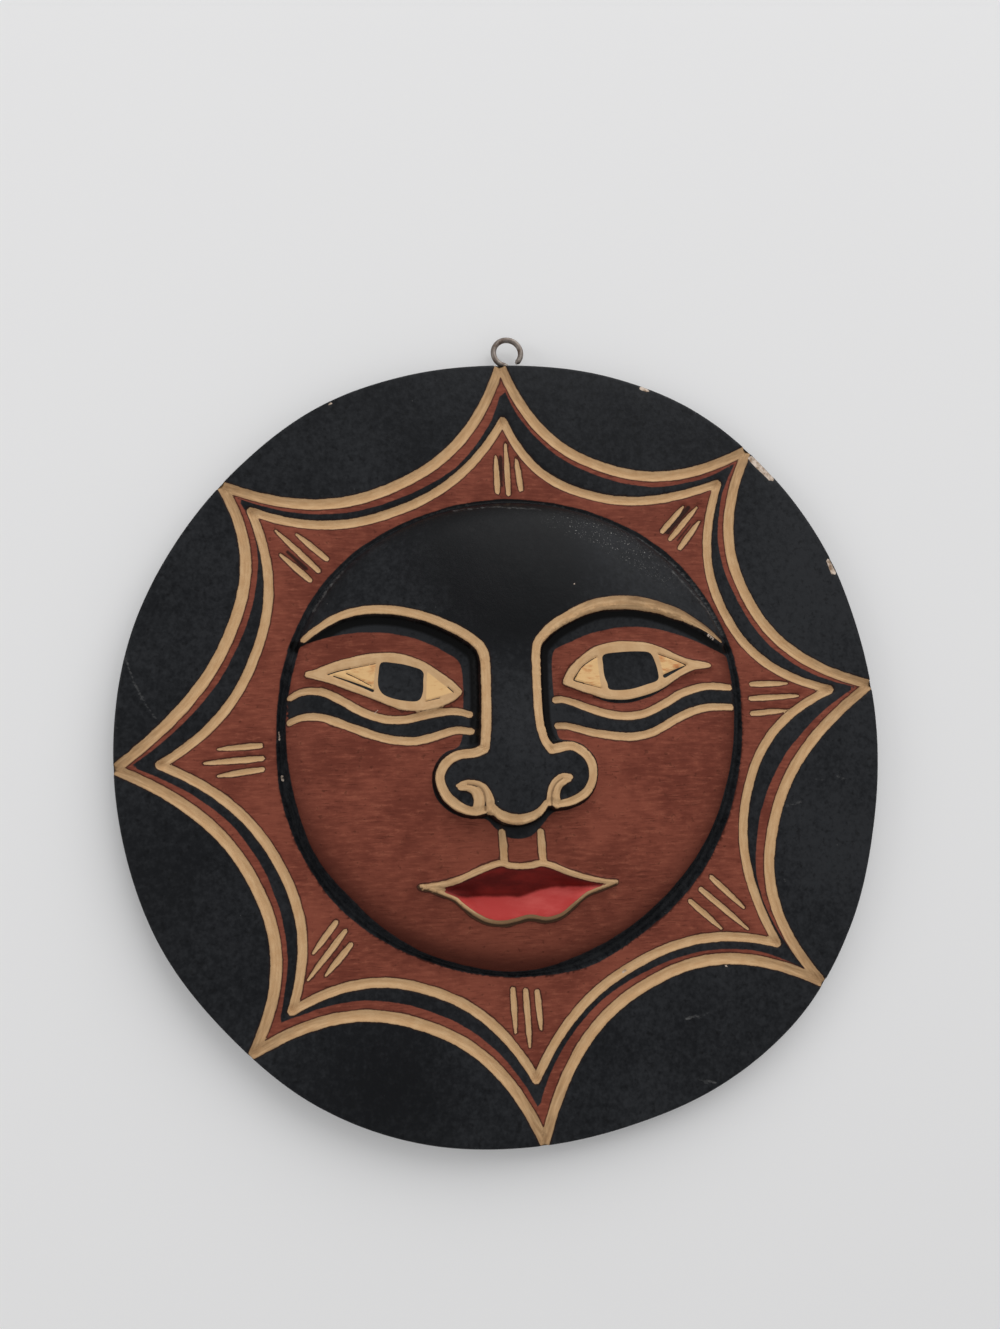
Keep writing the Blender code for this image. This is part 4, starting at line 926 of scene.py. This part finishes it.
def brown_paint(mix, paint):
    """Reddish brown stain over open grain, darker at the edges of the cheeks as painted shade, with painted
    shadow beside the strokes.
    """
    cloud = mix.plus(mix.noise(46, 5, roughness=0.62), mix.times(mix.noise(240, 4), 0.35))
    grain = mix.noise(200, 5, (1.0, 1.0, 5.0), 0.06, roughness=0.65)
    dashes = mix.noise(210, 3, (1.0, 1.0, 17.0), 0.10)
    speck = mix.noise(700, 3)
    base = mix.blend(mix.band(mix.plus(cloud, mix.times(grain, 0.8)), -0.26, 0.20), paint.brown_low,
                     paint.brown)
    base = mix.blend(mix.band(mix.plus(grain, mix.times(speck, 0.6)), 0.02, 0.32, 0.0, 0.6), base,
                     paint.brown_light)
    dashed = mix.times(mix.band(dashes, 0.06, 0.20), mix.band(mix.noise(80, 3), -0.12, 0.12, 0.05, 0.55))
    base = mix.blend(dashed, base, paint.brown_dark)
    base = mix.blend(mix.band(speck, 0.11, 0.22, 0.0, 0.5), base, paint.brown_dark)
    # Painted shade at the face's foot, heavier towards the bottom
    shade = mix.plus(mix.read("shade"), mix.times(cloud, 0.35))
    base = mix.blend(mix.band(shade, 0.12, 1.0, 0.0, 0.9), base, paint.brown_dark)
    # Painted shadow between and beside strokes
    stroke_shadow = mix.plus(mix.read("stroke_shadow"), mix.times(grain, 0.8))
    base = mix.blend(mix.band(stroke_shadow, -0.35, 0.30, 0.0, 0.9), base, paint.outline)
    return base, mix.plus(mix.times(grain, 0.4), mix.times(dashed, -0.5))


def black_paint(mix, paint):
    """Black paint with a dull bloom and painted sheen, pits and painted shade, specks of dust, and rubbed
    scuffs with painted highlights.
    """
    mottle = mix.plus(mix.noise(420, 4), mix.times(mix.noise(950, 3), 0.8))
    cloud = mix.noise(38, 4)
    bloom_sheen_shade = mix.plus(mix.plus(mottle, mix.times(cloud, 0.7)), mix.times(mix.read("bloom_sheen_shade"), 0.32))
    base = mix.blend(mix.band(bloom_sheen_shade, -0.35, 0.42), paint.black, paint.black_rubbed_and_sheen)
    # Pits, and painted shade where the spots are negative and under the brows and the nose
    pits = mix.band(mix.noise(620, 4), 0.06, 0.20, 0.0, 0.42)
    pits = mix.maths("MAXIMUM", pits, mix.band(mix.read("bloom_sheen_shade"), -1.0, -0.3, 0.45, 0.0))
    base = mix.blend(mix.maths("MAXIMUM", pits, mix.read("under")), base, paint.pit_and_shade)
    # Scuffs, and painted highlights along the forehead's edge
    scrape = mix.noise(520, 5, (1.0, 1.0, 2.0), 0.8, roughness=0.7)
    wear_and_highlights = mix.plus(mix.read("scuffs_and_highlights"), mix.times(scrape, 3.6))
    base = mix.blend(mix.band(wear_and_highlights, 0.0, 1.3, 0.0, 0.7), base, paint.scuff_and_highlight)
    specks = mix.times(mix.band(mix.noise(2300, 2), 0.15, 0.21), mix.band(mix.read("dust"), 0.1, 0.9))
    base = mix.blend(mix.times(specks, 0.8), base, paint.dust)
    strays = mix.times(mix.band(mix.noise(1100, 1), 0.31, 0.34), mix.band(mix.noise(60, 2), 0.0, 0.1))
    base = mix.blend(mix.times(strays, 0.6), base, paint.dust)
    return base, mix.plus(mottle, mix.times(pits, -0.6))


def gold_paint(mix, paint):
    """Tan gold brushed along each line, darker and thinner where it is old, and darker as painted shade
    where the age carries it.
    """
    flow = mix.add("ShaderNodeCombineXYZ", {"X": mix.times(mix.read("along"), 0.12),
                                            "Y": mix.times(mix.read("across"), 1.3)}).outputs[0]
    streak = mix.noise(1.5, 4, place=flow)
    patch = mix.noise(260, 5, roughness=0.65)
    base = mix.blend(mix.band(mix.plus(streak, mix.times(patch, 0.7)), -0.25, 0.32), paint.gold,
                     paint.gold_light)
    old_and_shaded = mix.plus(mix.read("age_and_shade"), mix.plus(mix.times(streak, -0.7), mix.times(patch, 0.8)))
    base = mix.blend(mix.band(old_and_shaded, 0.22, 1.3, 0.0, 0.95), base, paint.gold_dark)
    base = mix.blend(mix.band(old_and_shaded, 1.3, 2.1, 0.0, 0.8), base, paint.outline)
    edge = mix.band(mix.maths("ABSOLUTE", mix.read("across")), 0.72, 1.05, 0.0, 0.35)
    # Painted shade in the nostrils' split cuts
    edge = mix.maths("MAXIMUM", edge, mix.band(mix.read("seams"), -0.30, 0.10, 0.0, 0.75))
    return mix.blend(edge, base, paint.gold_dark), streak


def painted_wood(paint):
    """The disc: brown, black, gold, cream and red paint on wood, bare at the back and in chips, with painted
    shade, shadow, sheen and glints.
    """
    mix = Recipe("painted wood")
    mix.shader.inputs["Specular IOR Level"].default_value = 0.10
    fine, finer = mix.noise(260, 3), mix.noise(1100, 2)
    wobble = mix.plus(mix.times(fine, 0.50), mix.times(finer, 0.22))
    loose = mix.plus(mix.times(mix.noise(150, 3), 0.7), mix.times(finer, 0.25))

    def edge(name, shift, soft=0.12):
        """Share of a painted area, from its depth and a wander of its edge."""
        return mix.band(mix.plus(mix.read(name), shift), -soft, soft)

    base, brown_bump = brown_paint(mix, paint)
    black, black_bump = black_paint(mix, paint)
    in_black = edge("black", loose, 0.18)
    base = mix.blend(in_black, base, black)

    gold, streak = gold_paint(mix, paint)
    in_gold = edge("gold", wobble, 0.09)
    # Painted shadow along the edges of the gouged gold lines
    outline = mix.band(mix.plus(mix.read("gold"), mix.times(fine, 1.1)), -0.55, -0.20, 0.0, 0.70)
    base = mix.blend(outline, base, paint.outline)
    base = mix.blend(in_gold, base, gold)
    streaks = mix.noise(330, 4, (1.0, 1.0, 3.5), 0.5)
    white = mix.blend(mix.band(mix.plus(streaks, mix.times(mix.noise(110, 2), 0.8)), 0.0, 0.34, 0.0, 0.85),
                      paint.cream, paint.orange)
    in_white = edge("white", mix.times(wobble, 0.4), 0.2)
    base = mix.blend(in_white, base, white)

    # Lips: one red, painted shaded over the upper lip and lit over the lower
    lower = edge("lower", mix.times(mix.noise(150, 3), 1.6), 0.55)
    brush = mix.noise(110, 4, (1.0, 1.0, 2.5))
    bright = mix.blend(mix.band(brush, -0.10, 0.30, 0.0, 0.8), paint.red_in_light, paint.red_rubbed)
    deep = mix.blend(mix.band(brush, -0.2, 0.25), paint.red_in_shade, paint.red_dull)
    in_lips = mix.times(edge("lips", mix.times(wobble, 0.6)), mix.maths("SUBTRACT", 1.0, in_gold))
    base = mix.blend(in_lips, base, mix.blend(lower, deep, bright))
    # Painted shadow in the upper lip under its gold outline
    lip_edge_shade = mix.band(mix.plus(mix.read("lips"), fine), 0.1, 1.3, 0.85, 0.0)
    upper_lip_shadow = mix.times(in_lips, mix.times(lip_edge_shade, mix.maths("SUBTRACT", 1.0, lower)))
    base = mix.blend(upper_lip_shadow, base, paint.outline)
    in_ink = edge("ink", mix.times(wobble, 0.25), 0.08)
    base = mix.blend(in_ink, base, black)

    # Bare wood in the chips, and painted glints
    chips_and_glints = edge("chips_and_glints", mix.times(loose, 1.5), 0.08)
    bare = mix.blend(mix.band(mix.noise(700, 3), -0.2, 0.3), paint.bare, paint.gold_dark)
    base = mix.blend(chips_and_glints, base, bare)
    grain = mix.noise(28, 6, (1.0, 1.0, 12.0))
    back = mix.blend(mix.band(grain, -0.18, 0.22), paint.back_wood, paint.back_grain)
    back = mix.blend(mix.band(mix.noise(240, 3, (1.0, 1.0, 14.0)), 0.08, 0.2, 0.0, 0.6), back,
                     paint.back_grain)
    behind = mix.read("behind")
    base = mix.blend(behind, base, back)

    dark = mix.maths("MAXIMUM", in_black, in_ink)
    roughness = mix.mixed(dark, 0.60, mix.plus(0.44, mix.times(black_bump, 0.25)))
    roughness = mix.mixed(in_gold, roughness, 0.62)
    roughness = mix.mixed(in_lips, roughness, 0.50)
    roughness = mix.mixed(mix.maths("MAXIMUM", chips_and_glints, behind), roughness, 0.8)
    height = mix.plus(mix.mixed(dark, brown_bump, mix.times(black_bump, 0.5)),
                      mix.times(in_gold, mix.plus(0.7, mix.times(streak, 0.9))))
    height = mix.plus(height, mix.times(mix.noise(2200, 2), 0.25))
    return mix.finish(base, roughness, mix.raised(height, 0.00009, 1.0))


def tarnished_steel(paint):
    """Dull grey-brown steel wire."""
    mix = Recipe("tarnished steel")
    patch = mix.noise(420, 4)
    base = mix.blend(mix.band(patch, -0.10, 0.25), paint.steel, paint.rust)
    mix.shader.inputs["Metallic"].default_value = 0.75
    roughness = mix.plus(0.42, mix.times(patch, 0.5))
    return mix.finish(base, roughness, mix.raised(mix.noise(1800, 3), 0.00012, 0.8))


def wall_finish(stage):
    """Plain pale wall that shows from its front alone."""
    mix = Recipe("pale wall")
    mix.shader.inputs["Base Color"].default_value = (*stage.wall, 1.0)
    mix.shader.inputs["Roughness"].default_value = 0.9
    mix.shader.inputs["Specular IOR Level"].default_value = 0.1
    clear = mix.add("ShaderNodeBsdfTransparent").outputs[0]
    behind = mix.add("ShaderNodeNewGeometry").outputs["Backfacing"]
    shown = mix.add("ShaderNodeMixShader", {0: behind, 1: mix.shader.outputs[0], 2: clear})
    out = mix.tree.nodes["Material Output"]
    mix.tree.links.new(shown.outputs[0], out.inputs["Surface"])
    return mix.material


class PLAQUE_OT_carve_disc(bpy.types.Operator):
    """Carve and paint the wooden disc"""

    bl_idname = "plaque.carve_disc"
    bl_label = "Carve disc"

    def execute(self, context):
        size = millimetres(context.scene.plaque_carving)
        drawing = Drawing()
        radius = size["disc_radius"]
        rim = rim_line(RIM_POINTS, radius, RIM_INSET)
        points = mesh_points(drawing, size)
        points = points[rim_gap(points, radius) > RIM_CLEAR]
        shoulders = [rim_line(RIM_POINTS, radius, inset) for inset in SHOULDERS]
        flat = [Vector(spot) for spot in np.vstack([rim] + shoulders + [points])]
        spots, _, faces, *_ = delaunay_2d_cdt(flat, [], [list(range(len(rim)))], 1, 1e-6)
        q = np.array([tuple(spot) for spot in spots])
        height = front_height(q, drawing, size)
        rounding = size["edge_rounding"]
        fall = np.clip(1 - rim_gap(q, radius) / rounding, 0.0, 1.0)
        height -= rounding * (1 - np.sqrt(1 - fall ** 2))
        height += sum(swell * rough(q, across, seed) for swell, across, seed in SKIN) - SKIN_BACK
        values = paint_areas(q, drawing, size)
        values["behind"] = np.zeros(len(q))

        middle = plaque_middle(size)
        mesh = bpy.data.meshes.new("sun_face_disc")
        mesh.from_pydata(to_frame(np.c_[q, height], middle).tolist(), [], [list(f) for f in faces])
        set_attributes(mesh, values)
        self.close_back(mesh, size, middle)
        mesh.shade_smooth()
        mesh.materials.append(painted_wood(context.scene.plaque_paint))
        disc = bpy.data.objects.new("sun_face_disc", mesh)
        context.scene.collection.objects.link(disc)
        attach(disc, "root")
        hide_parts("carved_disc")
        return {"FINISHED"}

    def close_back(self, mesh, size, middle):
        """Adds the edge of the disc and its flat back to the carved front."""
        bm = bmesh.new()
        bm.from_mesh(mesh)
        behind = bm.verts.layers.float["behind"]
        black = bm.verts.layers.float["black"]
        fading = [bm.verts.layers.float[name] for name in ("gold", "chips_and_glints", "scuffs_and_highlights")]
        thickness = size["rim_thickness"] / 1000
        loop = [edge for edge in bm.edges if edge.is_boundary]
        for share, inset, bare in SIDE_STEPS:
            new = bmesh.ops.extrude_edge_only(bm, edges=loop)["geom"]
            for vert in (item for item in new if isinstance(item, bmesh.types.BMVert)):
                spot = vert.co
                flat = Vector((spot.x, 0.0, spot.z - middle.z))
                turn = np.array([math.atan2(flat.z, flat.x)])
                reach = rim_radius(turn, size["disc_radius"])[0] - inset
                flat *= reach / 1000 / flat.length
                vert.co = (flat.x, middle.y + thickness * share, flat.z + middle.z)
                vert[behind] = bare
                vert[black] = SIDE_BLACK
                for layer in fading:
                    vert[layer] -= SIDE_FADE
            loop = [edge for edge in bm.edges if edge.is_boundary]
        bmesh.ops.contextual_create(bm, geom=loop)
        bmesh.ops.recalc_face_normals(bm, faces=bm.faces)
        bm.to_mesh(mesh)
        bm.free()


def wire_tree(wire):
    """Geometry nodes that sweep a round wire along a path and round its free end."""
    tree = bpy.data.node_groups.new("bent wire", "GeometryNodeTree")
    tree.interface.new_socket("Path", in_out="INPUT", socket_type="NodeSocketGeometry")
    for name, value in (("Wire diameter", wire), ("End length", wire * 0.5)):
        socket = tree.interface.new_socket(name, in_out="INPUT", socket_type="NodeSocketFloat")
        socket.default_value = value
    sides = tree.interface.new_socket("Sides", in_out="INPUT", socket_type="NodeSocketInt")
    sides.default_value = 20
    finish = tree.interface.new_socket("Finish", in_out="INPUT", socket_type="NodeSocketMaterial")
    tree.interface.new_socket("Wire", in_out="OUTPUT", socket_type="NodeSocketGeometry")
    nodes, link = tree.nodes, tree.links.new
    source, result = nodes.new("NodeGroupInput"), nodes.new("NodeGroupOutput")

    half = nodes.new("ShaderNodeMath")
    half.operation = "MULTIPLY"
    half.inputs[1].default_value = 0.5
    link(source.outputs["Wire diameter"], half.inputs[0])
    profile = nodes.new("GeometryNodeCurvePrimitiveCircle")
    link(source.outputs["Sides"], profile.inputs["Resolution"])
    link(half.outputs[0], profile.inputs["Radius"])

    length = nodes.new("GeometryNodeSplineParameter")
    whole = nodes.new("GeometryNodeSplineLength")
    left = nodes.new("ShaderNodeMath")
    left.operation = "SUBTRACT"
    link(whole.outputs["Length"], left.inputs[0])
    link(length.outputs["Length"], left.inputs[1])
    share = nodes.new("ShaderNodeMapRange")
    share.interpolation_type = "SMOOTHERSTEP"
    link(left.outputs[0], share.inputs["Value"])
    link(source.outputs["End length"], share.inputs["From Max"])
    share.inputs["To Min"].default_value = 0.55
    scale = nodes.new("GeometryNodeSetCurveRadius")
    link(source.outputs["Path"], scale.inputs["Curve"])
    link(share.outputs["Result"], scale.inputs["Radius"])

    sweep = nodes.new("GeometryNodeCurveToMesh")
    sweep.inputs["Fill Caps"].default_value = True
    link(scale.outputs["Curve"], sweep.inputs["Curve"])
    link(profile.outputs["Curve"], sweep.inputs["Profile Curve"])
    if "Scale" in sweep.inputs:
        radius = nodes.new("GeometryNodeInputRadius")
        link(radius.outputs[0], sweep.inputs["Scale"])
    smooth = nodes.new("GeometryNodeSetShadeSmooth")
    link(sweep.outputs["Mesh"], smooth.inputs["Geometry"])
    realize = nodes.new("GeometryNodeRealizeInstances")
    link(smooth.outputs[0], realize.inputs[0])
    paint = nodes.new("GeometryNodeSetMaterial")
    link(realize.outputs[0], paint.inputs["Geometry"])
    link(source.outputs["Finish"], paint.inputs["Material"])
    link(paint.outputs[0], result.inputs[0])
    return tree, finish.identifier


class PLAQUE_OT_bend_screw_eye(bpy.types.Operator):
    """Bend the screw eye from its wire"""

    bl_idname = "plaque.bend_screw_eye"
    bl_label = "Bend screw eye"

    def execute(self, context):
        wire = context.scene.plaque_wire
        size = millimetres(context.scene.plaque_carving)
        middle = plaque_middle(size)
        rim_top = rim_radius(np.array([math.pi / 2]), size["disc_radius"])[0] / 1000
        radius = (wire.bore + wire.wire) / 2
        height = rim_top + wire.gap + wire.wire / 2 + radius
        neck = height - radius - wire.wire / 2
        path = [(0.0, rim_top - wire.shank), (0.0, rim_top - wire.shank / 2), (0.0, neck)]
        for turn in np.radians(np.arange(-122, -411, -12)):
            path.append((radius * math.cos(turn), height + radius * math.sin(turn)))
        path = smooth_line(path, wire.wire * 0.18)
        curve = bpy.data.curves.new("wire path", "CURVE")
        curve.dimensions = "3D"
        spline = curve.splines.new("POLY")
        spline.points.add(len(path) - 1)
        centre = middle.y + size["rim_thickness"] / 2000
        for point, (x, z) in zip(spline.points, path):
            point.co = (x, centre, middle.z + z, 1.0)
        holder = bpy.data.objects.new("wire path", curve)
        context.scene.collection.objects.link(holder)
        tree, finish = wire_tree(wire.wire)
        sweep = holder.modifiers.new("bent wire", "NODES")
        sweep.node_group = tree
        sweep[finish] = tarnished_steel(context.scene.plaque_paint)
        eye = plain_mesh(holder, "steel_screw_eye")
        bm = bmesh.new()
        bm.from_mesh(eye.data)
        bmesh.ops.remove_doubles(bm, verts=bm.verts, dist=1e-6)
        bmesh.ops.recalc_face_normals(bm, faces=bm.faces)
        bm.to_mesh(eye.data)
        bm.free()
        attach(eye, "root")
        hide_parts("screw_eye")
        return {"FINISHED"}


def plain_mesh(holder, name):
    """The evaluated object as a plain mesh object, with the object it came from removed."""
    bpy.context.view_layer.update()
    evaluated = holder.evaluated_get(bpy.context.evaluated_depsgraph_get())
    mesh = bpy.data.meshes.new_from_object(evaluated)
    mesh.name = name
    piece = bpy.data.objects.new(name, mesh)
    bpy.context.scene.collection.objects.link(piece)
    bpy.data.objects.remove(holder, do_unlink=True)
    return piece


class PLAQUE_OT_set_stage(bpy.types.Operator):
    """Set the wall, the light and the camera"""

    bl_idname = "plaque.set_stage"
    bl_label = "Set stage"

    def execute(self, context):
        scene = context.scene
        stage = scene.plaque_stage
        size = millimetres(scene.plaque_carving)
        middle = plaque_middle(size)
        self.add_wall(scene, stage, middle, size)
        self.add_light(scene, "key light", KEY_LIGHT, KEY_WIDTH, stage.key_power, middle)
        self.add_light(scene, "fill light", FILL_LIGHT, FILL_WIDTH, stage.fill_power, middle)
        world = bpy.data.worlds.new("even light")
        world.use_nodes = True
        world.node_tree.nodes["Background"].inputs["Color"].default_value = (1.0, 1.0, 1.0, 1.0)
        world.node_tree.nodes["Background"].inputs["Strength"].default_value = stage.sky
        scene.world = world
        scene.view_settings.view_transform = "Standard"
        self.add_camera(scene, stage, middle)
        return {"FINISHED"}

    def add_wall(self, scene, stage, middle, size):
        """A flat wall just behind the plaque."""
        bpy.ops.mesh.primitive_plane_add(size=WALL_WIDTH)
        wall = bpy.context.object
        wall.name = "pale_wall"
        back = middle.y + size["rim_thickness"] / 1000 + WALL_GAP
        wall.data.transform(Matrix.Translation((0, back, 0)) @ Matrix.Rotation(math.pi / 2, 4, "X"))
        wall.data.materials.append(wall_finish(stage))
        for ray in ("diffuse", "glossy", "transmission", "shadow"):
            setattr(wall, "visible_" + ray, False)

    def add_light(self, scene, name, place, width, power, middle):
        """A square soft light that faces the plaque, at the height of its middle plus its own."""
        place = Vector((place[0], place[1], middle.z + place[2]))
        lamp = bpy.data.lights.new(name, "AREA")
        lamp.size = width
        lamp.energy = power
        light = bpy.data.objects.new(name, lamp)
        light.location = place
        light.rotation_euler = (middle - place).to_track_quat("-Z", "Y").to_euler()
        scene.collection.objects.link(light)

    def add_camera(self, scene, stage, middle):
        """The camera at the viewing angle of the photograph."""
        lens = bpy.data.cameras.new("camera")
        lens.sensor_width = SENSOR
        lens.lens = SENSOR * FOCAL_SHARE
        camera = bpy.data.objects.new("camera", lens)
        place = middle + Vector((stage.camera_right, -stage.camera_out, stage.camera_up))
        ahead = Vector(VIEW_AHEAD)
        side = ahead.cross(Vector(VIEW_UP)).normalized()
        upward = side.cross(ahead).normalized()
        turn = Matrix((side, upward, -ahead)).transposed().to_4x4()
        camera.matrix_world = Matrix.Translation(place) @ turn
        lens.clip_start = 0.01
        scene.collection.objects.link(camera)
        scene.camera = camera


class PLAQUE_PT_panel(bpy.types.Panel):
    """Steps and settings of the plaque"""

    bl_idname = "PLAQUE_PT_panel"
    bl_label = "Sun face plaque"
    bl_space_type = "VIEW_3D"
    bl_region_type = "UI"
    bl_category = "Plaque"

    def draw(self, context):
        for step in STEPS:
            self.layout.operator(step.bl_idname)
        for group in SETTINGS:
            box = self.layout.box()
            settings = getattr(context.scene, group)
            for name in settings.bl_rna.properties.keys():
                if name not in ("rna_type", "name"):
                    box.prop(settings, name)


SETTINGS = {"plaque_carving": PlaqueCarving, "plaque_wire": PlaqueWire,
            "plaque_paint": PlaquePaint, "plaque_stage": PlaqueStage}
STEPS = (PLAQUE_OT_set_stage, PLAQUE_OT_carve_disc, PLAQUE_OT_bend_screw_eye)


def register():
    """Classes of the add-on, with their settings on the scene."""
    for group in SETTINGS.values():
        bpy.utils.register_class(group)
    for step in STEPS:
        bpy.utils.register_class(step)
    bpy.utils.register_class(PLAQUE_PT_panel)
    for name, group in SETTINGS.items():
        setattr(bpy.types.Scene, name, PointerProperty(type=group))


def unregister():
    """Takes the settings and classes away again."""
    for name in SETTINGS:
        delattr(bpy.types.Scene, name)
    bpy.utils.unregister_class(PLAQUE_PT_panel)
    for item in (*reversed(STEPS), *reversed(tuple(SETTINGS.values()))):
        bpy.utils.unregister_class(item)


def main():
    """Registers the add-on and makes both pieces and the stage."""
    register()
    bpy.ops.plaque.set_stage()
    bpy.ops.plaque.carve_disc()
    bpy.ops.plaque.bend_screw_eye()


if __name__ == "__main__":
    main()
